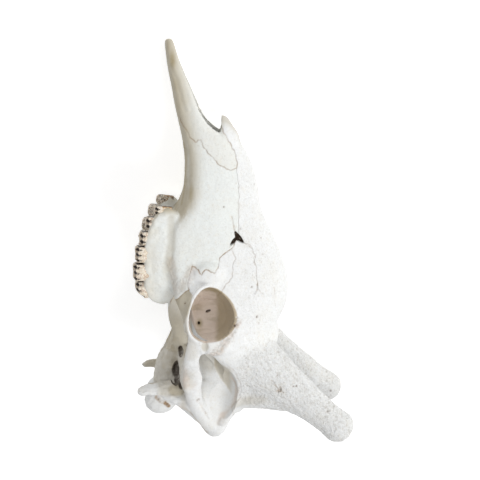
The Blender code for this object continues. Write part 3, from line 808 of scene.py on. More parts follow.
def weathered(skull):
    """The smooth skull given the relief of dry, weathered bone."""
    mesh = skull.data
    points, normals = surface_of(mesh)
    folded = side_view(points)
    x, y, z = folded.T

    lift = 0.6 * mottled(points, 17, 3) + 0.26 * mottled(points, 6, 5) + 1.35 * bone_grain(points)

    # The jaw is lumpy over the roots of the cheek teeth, about 25 mm apart, with a soft groove above them.
    jaw = ease(-x, 66, 74) * ease(y, 6, 26) * (1 - ease(y, 160, 178)) * ease(z, 40, 52)
    row = np.cos((y - ROW_FRONT) * 2 * math.pi / 25)
    lift += jaw * (0.6 * row * ease(-x, 76, 96) + 1.9 * mottled(points, 17, 43) + 0.5 * mottled(points, 6, 44))
    lift -= 2.2 * hump(x, -70, 7) * ease(y, 24, 60) * (1 - ease(y, 150, 176)) * ease(z, 48, 60)

    # Muzzle: a low ridge along the premaxilla with a groove beside it, and fine grooves that run forward.
    crest = distance_to(folded, ((-64, 390, 24), (-53, 367, 26), (-47, 339, 27), (-41, 320, 28)), 14)
    lift += (0.9 * hump(crest, 0, 2.6) - 0.8 * hump(crest, 5.5, 2.6)) * ease(z, 10, 18)
    lift += 0.18 * mottled(points, (2.4, 26, 2.4), 47, 2) * ease(y, 150, 210)

    # Temple: marks of the fibres that fan back, and two facets where the muscle held.
    temple = around(folded, (14, -124, 74), (52, 86, 40))
    fan = np.column_stack([points[:, 0] + 0.35 * points[:, 1], points[:, 1:]])
    lift += temple * 0.3 * mottled(fan, (3, 24, 14), 53, 2)
    lift += 1.3 * temple * hump(distance_to(folded, FACET, 12), 0, 3)
    lift -= 2.2 * temple * beyond_facet(folded)

    # Cheek arch: a shallow oval hollow behind the eye socket, crests along its borders and lumps between them.
    lift -= 2.4 * around(folded, (-17, -42, 118), (8, 12, 14))
    lift += 0.7 * near_path(folded, ((-22, -52, 117), (-18, -70, 113), (-22, -96, 105), (-20, -124, 93)), 0.5, 5)
    lift += 0.5 * near_path(folded, ((-48, -118, 98), (-34, -110, 101), (-20, -104, 100)), 0.5, 4)
    lumpy = near_path(folded, ((-36, -60, 112), (-38, -100, 104), (-36, -130, 94)), 2, 14)
    lift += 0.8 * ease(lumpy, 0, 1) * mottled(points, 7, 55)

    # Ear region, nape with the scars of its muscles, and skull base: all of it broken up.
    lift += around(folded, (-66, -146, 58), (24, 18, 22)) * (1.1 * grain(points, 5, 63) + 0.8 * ridged(points, 7, 64))
    lift += ease(-y, 176, 206) * (0.7 * mottled(points, 6, 59) + 0.3 * grain(points, 2.6, 61))
    base = ease(-x, 40, 60) * ease(-y, 20, 60)
    lift += base * (0.9 * mottled(points, 9, 67) + 0.5 * ridged(points, 7, 68))

    # Sutures, cracks and pits.
    lift -= 0.65 * suture_marks(points, normals)[1]
    for path, width, depth, _ in CRACKS:
        lift -= depth * near_path(points, crooked(path), width * 0.3, width * 1.1)
    for place, radius, depth, _ in PITS:
        lift -= depth * around(points, place, radius * 1.8)
    lift *= 1 - 0.4 * ease(y, 290, 320)
    mesh.vertices.foreach_set("co", ((points + normals * lift[:, None]) * MM).ravel())
    mesh.update()
    return skull


# Parting the skull into its bones.


def copied(obj, name):
    return new_object(name, obj.data.copy())


def take(body, name, make_tool, seam=SEAM):
    """A bone cut out of the body along a thin seam. The tool is made twice: as it is, and wider by the seam."""
    part = combined(copied(body, name), "INTERSECT", [make_tool(0.0)])
    combined(body, "DIFFERENCE", [make_tool(seam)])
    return largest(part)


def halves(part, name):
    """The left and the right bone of a pair, parted along the middle of the skull."""
    outline = ((-CLEAR, -CLEAR), (CLEAR, -CLEAR), (CLEAR, 2 * CLEAR), (-CLEAR, 2 * CLEAR))
    made = {}
    for side_name, side in SIDES.items():
        label = name + "_" + side_name
        half = combined(copied(part, label), "INTERSECT", [prism("half", outline, (SEAM / 2, 0, 0), side)])
        made[label] = largest(half)
    bpy.data.objects.remove(part)
    return made


def territory(outline, inner=(-CLEAR, 0, 0), side=1):
    """The maker of a bone's cutting tool. Its seams wander, and the long sides clear of the skull stay straight."""
    fine = wandered(stepped((*outline, outline[0]), 1.6, 90)[:-1])
    return lambda grow: prism("territory", fine, inner, side, grow)


def horn_territory(side):
    """A drum around one ossicone, whose inner face is as uneven as a suture."""
    foot, tip = np.array(OSSICONE_FOOT, float), np.array(OSSICONE_TIP, float)
    run = (tip - foot) / np.linalg.norm(tip - foot)
    flat = np.cross(run, (0, 0, 1))
    flat /= np.linalg.norm(flat)
    other = np.cross(run, flat)
    turn = np.linspace(0, 2 * math.pi, 120, endpoint=False)

    def make(grow):
        rings = []
        for radius in np.append(np.arange(1, HORN_REACH, 2.2), HORN_REACH):
            ring = foot + (np.outer(np.cos(turn), flat) + np.outer(np.sin(turn), other)) * (radius + grow)
            uneven = 1.6 * grain(ring, 4.5, 101) + 3.0 * grain(ring, 16, 102)
            rings.append(ring + np.outer(uneven - grow, run))
        rings.append(rings[-1] - np.outer((rings[-1] - tip) @ run - HORN_END, run))
        return loft("territory", [ring * (1, 1, side) for ring in rings])

    return make


def bones_of(skull):
    """The skull parted into its named bones."""
    bones = {}
    for side_name, side in SIDES.items():
        name = "ossicone_" + side_name
        bones[name] = take(skull, name, horn_territory(side), HAIRLINE)
    muzzle = PREMAXILLA_SEAM + NASAL_SEAM[::-1][1:] + ((9, 460), (-120, 460), (-120, 330))
    bones.update(halves(take(skull, "premaxilla", territory(muzzle)), "premaxilla"))
    nose = NASAL_SEAM + NASAL_BACK + ((160, 330), (9, 330))
    bones.update(halves(take(skull, "nasal", territory(nose)), "nasal"))
    for side_name, side in SIDES.items():
        for label, outline, inner in (
            ("cheekbone", CHEEKBONE, CHEEKBONE_INSIDE),
            ("lacrimal", LACRIMAL, LACRIMAL_INSIDE),
        ):
            name = label + "_" + side_name
            bones[name] = take(skull, name, territory(outline, inner, side))
    jaw = PREMAXILLA_SEAM + NASAL_BACK[:3] + MAXILLA_SEAM[1:] + CHEEKBONE_SEAM[1:]
    jaw += ((-88, -6), (-160, -6), (-160, 330))
    bones.update(halves(take(skull, "maxilla", territory(jaw)), "maxilla"))
    bones.update(halves(take(skull, "palatine", territory(PALATINE)), "palatine"))
    bones["frontal"] = take(skull, "frontal", territory(FRONTAL))
    skull.name = "braincase"
    bones["braincase"] = largest(skull)
    return bones


# Teeth.

TOOTH_CORNERS = 144

# Notches in the chewing edge on the cheek side: place from -1 to 1 along the tooth, and half width.
NOTCHES = {1: ((-0.4, 0.27), (0.42, 0.27)), 2: ((-0.66, 0.19), (0.0, 0.2), (0.64, 0.19))}


def notch(u, lobes):
    """How deep a place along the chewing edge lies in a notch."""
    return np.max([hump(u, place, half) for place, half in NOTCHES[lobes]], axis=0)


def crown_outline(length, width, lobes, bite, corner):
    """A cheek tooth's outline along the row and across it. On the cheek side ribs stand between the notches, and the
    tongue side has rounded lobes. bite is 0 at the neck and 1 at the chewing edge. corner is 1 for an oval outline, and
    less for a squarer one."""
    turn = np.linspace(0, 2 * math.pi, TOOTH_CORNERS, endpoint=False)
    u, v = power(np.cos(turn), corner), power(np.sin(turn), corner)
    cheek = np.clip(v * 2.2, 0, 1)
    swell = (0.25 + 0.75 * bite) * (1.0 - 2.3 * notch(u, lobes)) * cheek
    cleft = (2.4 * hump(u, 0, 0.16) if lobes == 2 else 0) * (1 - cheek) * np.clip(-v * 2, 0, 1)
    return u, v, u * length / 2, v * width / 2 + swell + cleft


def worn_face(u, v, lobes, height, fall):
    """Height of the worn face over the gum, and how far each point is enamel and how far dark pocket. u and v run
    from -1 to 1 along the tooth and across it. fall lowers the hind end."""
    deep = notch(u, lobes)
    crest = np.cos(2 * np.pi * ((u + 1) / 2 * lobes - 0.5))
    face = height - 6.2 * ease(v, -0.1, 0.95) - 1.5 * ease(-v, 0.4, 1.0)
    pocket = hump(v, 0.5 + 0.1 * crest, 0.19) * (1 - ease(np.abs(u), 0.86, 0.98))
    inner = hump(v, 0.1 + 0.1 * crest, 0.09)
    dish = hump(v, -0.42, 0.24)
    face = face - pocket * (1.0 + 2.6 * deep) - 0.8 * dish + 0.9 * inner * crest + 1.4 * crest * ease(-v, 0, 0.5)
    face = face - 3.2 * deep * ease(v, 0.5, 1.0)
    face = face * (1 - fall * ease(-u, -0.1, 1.0)) - 2.6 * ease(np.abs(u), 0.62, 1.0)
    edge = hump(v, 0.84, 0.12) * (1 - 0.8 * deep)
    white = np.maximum.reduce([inner, edge, 0.7 * ease(-v, 0.0, 0.3)])
    spot = deep**1.4 * ease(v, 0.1, 0.4) * (1 - 0.6 * ease(v, 0.7, 0.95))
    return face, white, np.clip(pocket * (0.15 + 0.7 * deep) + spot, 0, 1)


def store(mesh, marks):
    """Puts marks on a mesh's points, where its material finds them."""
    for label, values in marks.items():
        mesh.attributes.new(label, "FLOAT", "POINT").data.foreach_set("value", values.astype(np.float32))


def cheek_tooth(name, place, length, width, height, lobes, corner, side, lean, fall):
    """One cheek tooth, from its root in the jaw to its worn chewing face, with marks of its enamel and stains."""
    gum, middle, out_to = place
    rings, marks = [], []

    def ring(x, along, out, *shown):
        rings.append(np.column_stack([x, middle + along + lean * (gum - x), (out_to + out) * side]))
        marks.append(np.column_stack(shown))

    # From the root to the chewing edge: the share of the crown's height, and the outline's scale.
    walls = [(-ROOT / height, 0.68)] + [(t, 0.9 + 0.1 * float(ease(t, 0, 0.5))) for t in np.linspace(0, 0.98, 15)]
    for share, scale in walls:
        u, v, along, out = crown_outline(length * scale, width * scale, lobes, max(0.0, share), corner)
        rim = worn_face(u, v, lobes, height, fall)[0]
        deep = notch(u, lobes) * (v > 0)
        x = gum - share * np.where(share > 0, rim, height)
        stained = 0.85 * deep**1.5 * ease(share, 0.62, 0.92) + 0.52 * ease(-v, 0, 0.5)
        ends = ease(np.abs(u), 0.84, 0.985) * np.where(v > 0.2, 1.0, 0.6)
        neck = (1 - ease(share, 0.0, 0.3)) * (0.4 + 0.6 * ease(np.abs(u), 0.5, 0.95))
        ring(x, along, out, np.maximum(stained, ends), neck, np.ones(TOOTH_CORNERS))
    u, v, along, out = crown_outline(length, width, lobes, 1.0, corner)
    # Inwards over the worn face, with a raised band of enamel just inside its edge.
    for scale in (0.985, 0.96, 0.93, 0.89, 0.84, 0.79, 0.73, 0.67, 0.6, 0.53, 0.46, 0.39, 0.32, 0.25, 0.18, 0.11, 0.04):
        face, enamel, pocket = worn_face(u * scale, v * scale, lobes, height, fall)
        band = hump(scale, 0.95, 0.04)
        stained = pocket * (1 - 0.5 * band)
        ring(gum - face - 0.5 * band, along * scale, out * scale, stained, 0 * u, np.maximum(enamel, band))
    shape = loft(name, rings)
    store(shape.data, dict(zip(TOOTH_MARKS, np.vstack(marks).T)))
    return shape


def tooth_row(side_name, side):
    """The six cheek teeth of one side, each a little different."""
    vary = np.random.default_rng(7 + side)
    gums = curve_through(GUM_LINE, 200)
    start = ROW_FRONT
    made = []
    for number, (length, width, height, lobes, corner) in enumerate(TEETH, 1):
        middle = start - length / 2
        x, y, z = gums[np.argmin(abs(gums[:, 1] - middle))]
        tall = height * vary.uniform(0.97, 1.04)
        wide = width * vary.uniform(0.97, 1.03)
        lean = vary.uniform(-0.04, 0.04)
        fall = 0.5 if number == len(TEETH) else 0.0
        name = "cheek_tooth_%s_%d" % (side_name, number)
        place = (x, middle, z + vary.uniform(-1, 1))
        made.append(cheek_tooth(name, place, length - 0.5, wide, tall, lobes, corner, side, lean, fall))
        start -= length
    return made


# Materials.


def fill(tree, node, inputs):
    """A node's inputs, each linked from another node's socket or set to a number or a hex colour."""
    for key, value in inputs.items():
        if isinstance(value, bpy.types.NodeSocket):
            tree.links.new(value, node.inputs[key])
        else:
            node.inputs[key].default_value = linear(value) if isinstance(value, str) else value


def add(tree, kind, settings, inputs):
    """A node with its settings and its inputs."""
    node = tree.nodes.new(kind)
    for key, value in settings.items():
        setattr(node, key, value)
    fill(tree, node, inputs)
    return node


# Noise in dry bone: the size of its lumps in millimetres, detail and roughness. Grease stains are some 26 mm wide and
# mottling 7 mm. Real pores are about 0.3 mm and the grit in the horns about 1 mm. Both are drawn coarser, because a
# pixel of the render is 1.65 mm.
BONE_NOISE = {
    "clouds": (26, 4, 0.6),
    "blotch": (7, 4, 0.6),
    "pores": (1.7, 2, 0.7),
    "grit": (3.2, 4, 0.75),
    "crumbs": (2.6, 3, 0.7),
}
# Thin layers over the chalky bone, the lowest first: colour, strength, and the marks and noises that it follows, each
# with the range that counts as none to full, or as it is.
BONE_LAYERS = (
    ("#DDD3BC", 1, {"cream": None, "clouds": (0.25, 0.6)}),
    ("#D8CDB6", 0.22, {"blotch": (0.52, 0.72)}),
    ("#D9D9D6", 0.3, {"clouds": (0.45, 0.7)}),
    # Painted shade: taupe grey where the bone faces away from the lamps, under overhangs and in hollows.
    ("#B3AA95", 1, {"shade": None}),
    # A rosy tint on spongy bone and the jaw joint, and rosy painted shade in the eye socket, inside the temple's edge
    # and along the nape.
    ("#D0BFB0", 1, {"rosy_tint_and_shade": None}),
    # Khaki: mostly painted shade in the eye socket, the temple, crevices and under the muzzle, with a few brown stains.
    ("#94845C", 1, {"khaki_shade_and_stain": None}),
    ("#94703F", 1, {"stain": None, "blotch": (0.2, 0.5)}),
    # Painted shade in the low spots of the fine relief.
    ("#A29A8D", 0.5, {"painted_grain_shade": None}),
    # Soil in pits and cracks, and black painted shade inside the deep holes and the tear in the face.
    ("#3A2A1C", 1, {"soil_and_hole_shade": None}),
    ("#B4ADA1", 0.75, {"rough": (-0.8, 1.2), "grit": (0.54, 0.7)}),
)
# Relief too fine for the mesh: strength, height in millimetres, and what it follows.
BONE_BUMPS = (
    (0.6, 1.5, {"blotch": None, "rough": (-0.4, 1.0)}),
    (0.8, 0.5, {"pores": None}),
    (1.0, 2.3, {"rough": None, "crumbs": None}),
)
BONE_MARKS = ("cream", "shade", "rosy_tint_and_shade", "khaki_shade_and_stain", "stain", "painted_grain_shade", "soil_and_hole_shade", "rough")
# Teeth have blotches of 4 mm, fine scratches of 1.2 mm, and rosy and dark patches of about 3 mm.
TOOTH_NOISE = {"blotch": (4, 4, 0.6), "scratches": (1.2, 3, 0.6), "rosy": (3, 3, 0.6), "patches": (2.4, 4, 0.7)}
TOOTH_LAYERS = (
    ("#CFBFA2", 1, {"blotch": (0.42, 0.7)}),
    ("#B08C78", 0.7, {"rosy": (0.47, 0.66)}),
    ("#A3947F", 0.7, {"enamel": (1, 0)}),
    ("#A67A3E", 1, {"gum": None, "blotch": (0.2, 0.6)}),
    ("#1D130D", 1, {"kept_stain": (0.0, 0.42)}),
)
TOOTH_BUMPS = ((0.4, 0.4, {"scratches": None}),)
TOOTH_MARKS = ("stained", "gum", "enamel")


def product(tree, sources, strength, follows):
    """A strength multiplied by each mark or noise that it follows."""
    amount = strength
    for source, span in follows.items():
        value = sources[source]
        if span:
            inputs = {"Value": value, "From Min": span[0], "From Max": span[1]}
            value = add(tree, "ShaderNodeMapRange", {"clamp": True}, inputs).outputs["Result"]
        times = {"operation": "MULTIPLY", "use_clamp": True}
        amount = add(tree, "ShaderNodeMath", times, {0: amount, 1: value}).outputs[0]
    return amount


def begun(name, noises, marks):
    """A new material with its nodes, and what its layers follow: noises, and marks of the mesh."""
    material = bpy.data.materials.new(name)
    material.use_nodes = True
    tree = material.node_tree
    place = add(tree, "ShaderNodeTexCoord", {}, {}).outputs["Object"]
    sources = {}
    for label, (size, detail, rough) in noises.items():
        inputs = {"Vector": place, "Scale": 1 / (size * MM), "Detail": detail, "Roughness": rough}
        sources[label] = add(tree, "ShaderNodeTexNoise", {}, inputs).outputs["Fac"]
    for label in marks:
        sources[label] = add(tree, "ShaderNodeAttribute", {"attribute_name": label}, {}).outputs["Fac"]
    return material, tree, sources


def layered(tree, sources, base, layers, bumps, gloss, uneven, matt):
    """The shader of a material in layers over a base colour. It is as rough as the matt values say, from the first to
    the last along an uneven noise."""
    colour = base
    for over, strength, follows in layers:
        mixed = {0: product(tree, sources, strength, follows), 6: colour, 7: over}
        colour = add(tree, "ShaderNodeMix", {"data_type": "RGBA", "clamp_factor": True}, mixed).outputs[2]
    relief = {}
    for strength, height, follows in bumps:
        relief.update({"Strength": strength, "Distance": height * MM, "Height": product(tree, sources, 1, follows)})
        relief["Normal"] = add(tree, "ShaderNodeBump", {}, relief).outputs[0]
    spread = {"Value": sources[uneven], "To Min": matt[0], "To Max": matt[1]}
    roughness = add(tree, "ShaderNodeMapRange", {}, spread).outputs["Result"]
    surface = tree.nodes["Principled BSDF"]
    fill(tree, surface, {"Base Color": colour, "Normal": relief["Normal"], "Roughness": roughness, **gloss})


def dry_bone(name, chalk, roughness):
    """Dry, sun-bleached bone: a chalky outer layer that scatters light softly, with creamy grease stains, tan lines
    along the sutures, and soil in the pits. Shade is painted over it: taupe, khaki and rosy where the bone faces away
    from the lamps or lies in hollows, black inside the deep holes, and darker in the low spots of the grain."""
    material, tree, sources = begun(name, BONE_NOISE, BONE_MARKS)
    gloss = {"IOR": 1.5, "Specular IOR Level": 0.35}
    layered(tree, sources, chalk, BONE_LAYERS, BONE_BUMPS, gloss, "blotch", (roughness - 0.08, roughness + 0.12))
    return material


def worn_tooth(name):
    """Cheek tooth: hard white enamel that shines a little, brown dentine in the worn face, and black-brown stain in
    the valleys and along the neck."""
    material, tree, sources = begun(name, TOOTH_NOISE, TOOTH_MARKS)
    # The dark stain has come away in patches.
    gone = product(tree, sources, 0.75, {"patches": (0.32, 0.68)})
    less = {"operation": "SUBTRACT", "use_clamp": True}
    sources["kept_stain"] = add(tree, "ShaderNodeMath", less, {0: sources["stained"], 1: gone}).outputs[0]
    gloss = {"IOR": 1.62, "Specular IOR Level": 0.3}
    layered(tree, sources, "#EBE3D4", TOOTH_LAYERS, TOOTH_BUMPS, gloss, "scratches", (0.25, 0.5))
    return material


def socket_share(folded, normals):
    """1 on the walls of the eye socket, 0 outside it. A wall of the socket doesn't face away from its middle."""
    x, y, z = folded.T
    inward = -(normals[:, 0] * (x + 4) + normals[:, 1] * (y - 6)) / np.maximum(np.hypot(x + 4, y - 6), 1)
    along = (y - 6) / 42.5
    up = (x + 4 + 6 * along**2) / (38 * (1 - 0.2 * np.clip(along, -1, 1)))
    reach = np.hypot(along, up)
    below = np.maximum(ease(inward, 0.2, 0.5), (1 - ease(z, 80, 90)) * ease(inward, -0.3, 0.0))
    share = np.maximum(1 - ease(reach, 0.97, 1.01), (1 - ease(reach, 1.15, 1.2)) * below * ease(-x, 4, 14))
    return share * (1 - ease(z, 84, 92) * (1 - ease(inward, -0.5, -0.25))) * ease(109 - 11 * along - z, 2, 6)


def bone_marks(name, points, normals):
    """Where the bone is creamy, stained, soiled, rough, khaki or rosy, and where shade is painted on it, each from 0 to
    1.
    """
    folded = side_view(points)
    x, y, z = folded.T
    down, out = -normals[:, 0], normals[:, 2] * np.sign(points[:, 2])
    clouds = 0.5 + 0.5 * mottled(points, 24, 83)

    def patch(place, radii, high=0.35, low=0.05):
        return ease(around(folded, place, radii), low, high)

    def band(path, full, none):
        return near_path(folded, path, full, none)

    jaw = ease(-x, 20, 80) * ease(y, -10, 30)
    gums = ease(-x, 84, 104) * jaw
    cream = 0.12 * jaw + 0.35 * gums + 0.5 * (clouds - 0.5)

    # The rim of the eye socket is kept free of painted shade. The socket's walls get their own painted shade in rose
    # and khaki.
    rim = band([rim_point(a, 1.01) for a in np.linspace(0, 2 * math.pi, 40)], 0.4, 2.2)
    socket = socket_share(folded, normals)
    roof = socket * ease(x + 3 * mottled(points, 14, 93), -4, 6)
    cheek = 1.0 if "cheekbone" in name else 0.0
    over_edge = x - np.interp(y, *LOWER_EDGE)
    over_ridge = x - np.interp(y, *MUZZLE_RIDGE)
    belly = (1 - ease(over_edge, 7, 38)) * ease(y, 150, 172) * ease(out, -0.4, 0.1)
    outward = ease(out, -0.1, 0.45)
    # The outer faces of the jugular processes, which face the lamps, get less painted shade, and so does the condyle.
    processes = patch((-113, -138, 60), (30, 24, 24)) * outward
    paler = (1 - 0.85 * processes) * (1 - 0.45 * patch((-95, -172, 28), (36, 30, 28)))
    # A strip along the edge of the nape that faces away from the lamps, for painted shade.
    strip = band(((-54, -162, 70), (-44, -173, 70), (-34, -188, 68), (-27, -203, 60), (-20, -216, 50)), 4, 11)
    # Painted shade where the bone faces away from the lamps or lies in shadow: below the eye socket, deep behind the
    # teeth, on the skull base, on faces turned to the palate and under the muzzle, inside the nose, on the temple's far
    # facet, under the horn, in the groove over the teeth, on the muzzle's side and tip, in the hollows of the cheek
    # arch and the jaw joint, along the edge of the nape and beside the ear.
    shades = (
        cheek * patch((-56, 22, 88), (28, 52, 44), 0.3),
        cheek * 0.6 * band(((-60, 40, 88), (-53, 20, 98), (-50, 0, 108), (-49, -22, 112)), 4, 11),
        0.65 * patch((-88, -60, 60), (60, 100, 62)) * paler,
        0.6 * ease(-x, 42, 60) * ease(-y, 0, 30) * (1 - ease(-x - 0.5 * z, 12, 26) * ease(-y, 140, 150)) * paler,
        0.9 * ease(down, 0.0, 0.5) * ease(y, 130, 160) * ease(-x, 34, 46),
        0.6 * patch((6, 250, 0), (54, 130, 30), 0.4),
        0.7 * patch((14, -124, 74), (60, 92, 44), 0.3) * beyond_facet(folded) * ease(30 - x, 0, 10),
        0.95 * belly * (1 - 0.35 * ease(down, 0.5, 0.9)),
        0.4 * band(((30, -158, 80), (44, -150, 80), (60, -146, 84), (76, -146, 88)), 2, 12),
        0.45 * band(((-69, 152, 56), (-69, 112, 64), (-79, 68, 72), (-74, 40, 76)), 3, 10),
        0.75 * (1 - ease(over_ridge, -3, 3)) * ease(y, 312, 330),
        0.35 * ease(y, 340, 430),
        0.3 * band(((-40, -40, 114), (-38, -56, 112)), 6, 14),
        0.6 * patch((-17, -42, 118), (9, 12, 14), 0.5),
        0.5 * band(((-54, -84, 104), (-52, -100, 106), (-50, -114, 102)), 1, 9),
        0.6 * around(folded, (-44, -99, 105), (18, 32, 18)) * broken(points, 8, 104, 0.8, 1, most=1.3),
        0.45 * strip,
        0.55 * band(((-70, -134, 56), (-58, -140, 60), (-50, -136, 62)), 3, 10),
    )
    shade = np.maximum.reduce(shades) * (1 - rim) * (1 - 0.7 * socket) * (0.75 + 0.4 * clouds)
    # Khaki: painted shade in the eye socket, in the temple's pocket, in the crevice above the condyle, on the skull
    # base round the ear, on the inner faces of the jugular processes, along the underside of the muzzle and at the
    # front of the palate; and brown stains at the muzzle's tip, on the maxilla's underside and round the pit in the eye
    # socket.
    khaki_shades_and_stains = (
        0.62 * roof,
        0.8 * band(((-94, -146, 40), (-86, -154, 44), (-78, -160, 42)), 1.5, 6),
        0.5 * around(folded, (-52, -136, 62), (5, 7, 8)),
        0.75 * socket * ease(y + 5 * mottled(points, 7, 94), 24, 40),
        0.35 * socket * ease(mottled(points, (30, 5, 30), 96), 0.0, 0.5),
        0.32 * patch((-14, -84, 62), (30, 36, 36), 0.6, 0.0),
        0.55 * patch((-63, -134, 68), (22, 15, 22), 0.4) * (0.6 + 0.4 * clouds),
        0.35 * patch((-80, -80, 34), (34, 60, 34), 0.4) * ease(mottled(points, 16, 98), -0.3, 0.4),
        0.4 * patch((-110, -138, 46), (34, 24, 22), 0.3) * (1 - outward),
        0.7 * around(points, (-65, 398, 23), (8, 24, 12)),
        0.9 * around(folded, (-26, -22, 60), (9, 12, 16)),
        0.45 * around(folded, (-38, 190, 46), (7, 28, 16)),
        0.6 * band(((-52, 172, 36), (-48, 207, 23), (-46, 241, 26), (-49, 264, 22)), 1, 9),
        0.45 * band(((-70, 168, 30), (-64, 172, 8)), 6, 22) * ease(-x, 44, 56),
        0.6 * belly * (1 - ease(over_edge, 2, 11)) * (1 - 0.85 * ease(down, 0.3, 0.9)) * clouds,
        0.25 * belly * ease(down, 0.4, 0.8) * ease(mottled(points, 14, 102), -0.4, 0.5),
    )
    spongy, torn = band(SPONGY, 3, 11), band(CHEEK_SCAR, 3, 11)
    joint = band(((-54, -80, 104), (-52, -98, 106), (-48, -112, 103), (-36, -112, 101)), 2, 13)
    # A rosy tint on spongy bone and the jaw joint, and painted shade in the eye socket, just inside the temple's edge
    # and on the strip along the nape.
    rosy_tints_and_shades = (
        0.8 * spongy * broken(points, 5, 89, 0.4),
        0.85 * socket,
        0.6 * band(np.array(TEMPLE_EDGE) - (4, 0, 6), 2, 8),
        0.6 * joint * broken(points, 9, 101, 0.55),
        0.3 * strip,
    )

    stain = np.maximum(suture_marks(points, normals)[0], 0.25 * torn)
    stain = np.maximum(stain, 0.4 * band(TEMPLE_EDGE, 0.5, 3.5) * broken(points, 12, 95, 0.6, 1))
    # Soil darkens the cracks and pits. The deep holes and the tear in the face are painted dark as the shade inside
    # them.
    soil_and_hole_shade = np.zeros(len(points))
    flaking = broken(points, 6, 97, 0.6)
    for path, width, _, dark in CRACKS:
        gap = distance_to(points, crooked(path), 5)
        stain = np.maximum(stain, dark * flaking * (1 - ease(gap, width * 0.5, width * 1.6)))
        soil_and_hole_shade = np.maximum(soil_and_hole_shade, dark * flaking * 0.7 * (1 - ease(gap, width * 0.2, width * 0.8)))
    for place, radius, _, dark in PITS:
        soil_and_hole_shade = np.maximum(soil_and_hole_shade, dark * ease(around(points, place, radius * 1.8), 0.15, 0.6))
        stain = np.maximum(stain, 0.5 * dark * around(points, place, radius * 3))
    for place, radii, turn, dark in HOLES:
        cos, sin = math.cos(math.radians(turn)), math.sin(math.radians(turn))
        away = folded - place
        across, along = away[:, 0] * cos + away[:, 1] * sin, away[:, 1] * cos - away[:, 0] * sin
        gap = np.linalg.norm(np.column_stack([across, along, away[:, 2]]) / radii, axis=1)
        soil_and_hole_shade = np.maximum(soil_and_hole_shade, (0.8 + 0.4 * mottled(points, 7, 103)) * dark * (1 - ease(gap, 1.02, 1.09)))
    # The tear where maxilla, nasal and lacrimal meet, and its arm, are painted dark below their edges, as the shade
    # inside them.
    for path, full, none, edge in (
        (((33, 129, 48), (38, 119, 46), (45, 111, 46)), 9, 12, 48),
        (((34, 120, 49), (27, 112, 52), (22, 105, 54)), 5, 8, 53),
    ):
        soil_and_hole_shade = np.maximum(soil_and_hole_shade, band(path, full, none) * (1 - ease(z, edge, edge + 4)))
    marks = {
        "cream": cream,
        "shade": shade,
        "khaki_shade_and_stain": np.maximum.reduce(khaki_shades_and_stains),
        "rosy_tint_and_shade": np.maximum.reduce(rosy_tints_and_shades),
        "stain": stain,
        "soil_and_hole_shade": soil_and_hole_shade,
        "rough": 0.15 + 0.85 * np.maximum.reduce([horn_share(points), spongy, 0.5 * ease(x, 20, 60)]),
        # Painted shade in the low spots of the fine relief, where the grain dips.
        "painted_grain_shade": -1.1 * bone_grain(points) - 0.1,
    }
    return {label: np.clip(values, 0, 1) for label, values in marks.items()}


# Laying the finished pieces down.


def laid(piece, material):
    """The piece moved to its place on the table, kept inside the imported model's box, shaded smooth and coloured."""
    mesh = piece.data
    mesh.transform(placed(REST_PLACE, REST_TURNS))
    points = np.empty(len(mesh.vertices) * 3)
    mesh.vertices.foreach_get("co", points)
    inside = np.clip(points.reshape(-1, 3), solid_box[0], solid_box[1])
    mesh.vertices.foreach_set("co", inside.ravel())
    mesh.update()
    mesh.shade_smooth()
    mesh.materials.clear()
    mesh.materials.append(material)
    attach(piece, "root")



def photo_camera():
    """The photograph's view: from above the left side of the skull, a little towards the muzzle and the palate."""
    muzzle, palate = (math.radians(lean) for lean in LEANS)
    away = Vector((-math.sin(palate) * math.cos(muzzle), math.sin(muzzle), math.cos(palate) * math.cos(muzzle)))
    right = (-away).cross(Vector((0, 1, 0))).normalized()
    up = right.cross(-away)
    turn = Matrix((right, up, away)).transposed().to_4x4()
    data = bpy.data.cameras.new("camera")
    data.sensor_width = 36
    data.lens = 36 * CAMERA_DISTANCE / (PICTURE * PIXEL)
    data.clip_start, data.clip_end = 0.05, 20
    camera = new_object("camera", data)
    place = Matrix.Translation((Vector(AIM) + away * CAMERA_DISTANCE) * MM)
    camera.matrix_world = placed(REST_PLACE, REST_TURNS) @ place @ turn
    bpy.context.scene.camera = camera
    return camera


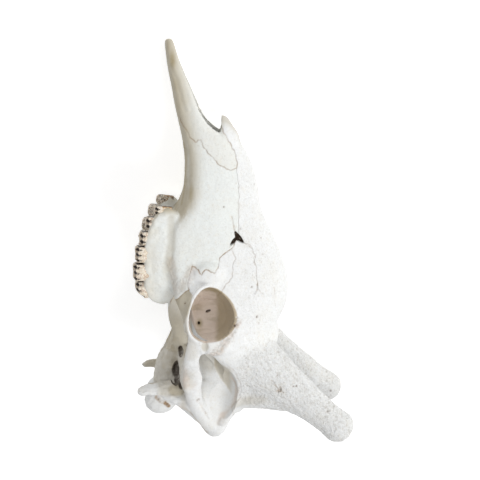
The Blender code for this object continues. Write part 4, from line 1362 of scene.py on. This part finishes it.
def lamp(name, camera, offset, size, watts):
    data = bpy.data.lights.new(name, "AREA")
    data.shape = "SQUARE"
    data.size = size
    data.energy = watts
    light = new_object(name, data)
    centre = Vector((0.0, 0.0, 0.1))
    light.location = centre + camera.matrix_world.to_3x3() @ Vector(offset)
    light.rotation_euler = (light.location - centre).to_track_quat("Z", "Y").to_euler()


def studio(camera):
    """A lit white table, a key lamp from the picture's upper right, one from its lower right, a fill and pale air."""
    shape = bmesh.new()
    bmesh.ops.create_grid(shape, x_segments=1, y_segments=1, size=6.0)
    floor = closed_object("floor", shape)
    floor.location.z = solid_box[0][2] - 0.0005
    # Opal acrylic lit from below: an even white without gloss, so that the skull stands out as on the photograph.
    table = bpy.data.materials.new("lit_white_acrylic_table")
    table.use_nodes = True
    opal = {"Base Color": "#F4F4F3", "Roughness": 0.9, "Specular IOR Level": 0.1}
    opal.update({"Emission Color": "#FFFFFF", "Emission Strength": 0.42})
    fill(table.node_tree, table.node_tree.nodes["Principled BSDF"], opal)
    floor.data.materials.append(table)
    for name, (offset, size, watts) in LAMPS.items():
        lamp(name, camera, offset, size, watts)
    world = bpy.data.worlds.new("studio")
    world.use_nodes = True
    fill(world.node_tree, world.node_tree.nodes["Background"], {"Color": "#FDFDFF", "Strength": 0.5})
    bpy.context.scene.world = world
    bpy.context.scene.view_settings.view_transform = "Standard"


def main():
    bones = bones_of(weathered(whole_skull()))
    # The same dry bone in four states: bleached chalky white all over, a trace of grease left in the jaw, smoother
    # and ivory coloured at the muzzle, and greyer and duller on the palate.
    bleached = dry_bone("sun_bleached_bone", "#E4E5E4", 0.66)
    kinds = {
        "maxilla": dry_bone("greasy_jaw_bone", "#E1E4E1", 0.62),
        "premaxilla": dry_bone("ivory_muzzle_bone", "#DFE0DB", 0.6),
        "palatine": dry_bone("weathered_palate_bone", "#D6D1C4", 0.68),
    }
    for name, bone in bones.items():
        bone.name = name + "_bone"
        store(bone.data, bone_marks(name, *surface_of(bone.data)))
        laid(bone, kinds.get(name.rsplit("_", 1)[0], bleached))
        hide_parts(name)
    enamel = worn_tooth("worn_tooth_enamel")
    for side_name, side in SIDES.items():
        for tooth in tooth_row(side_name, side):
            laid(tooth, enamel)
    studio(photo_camera())


main()
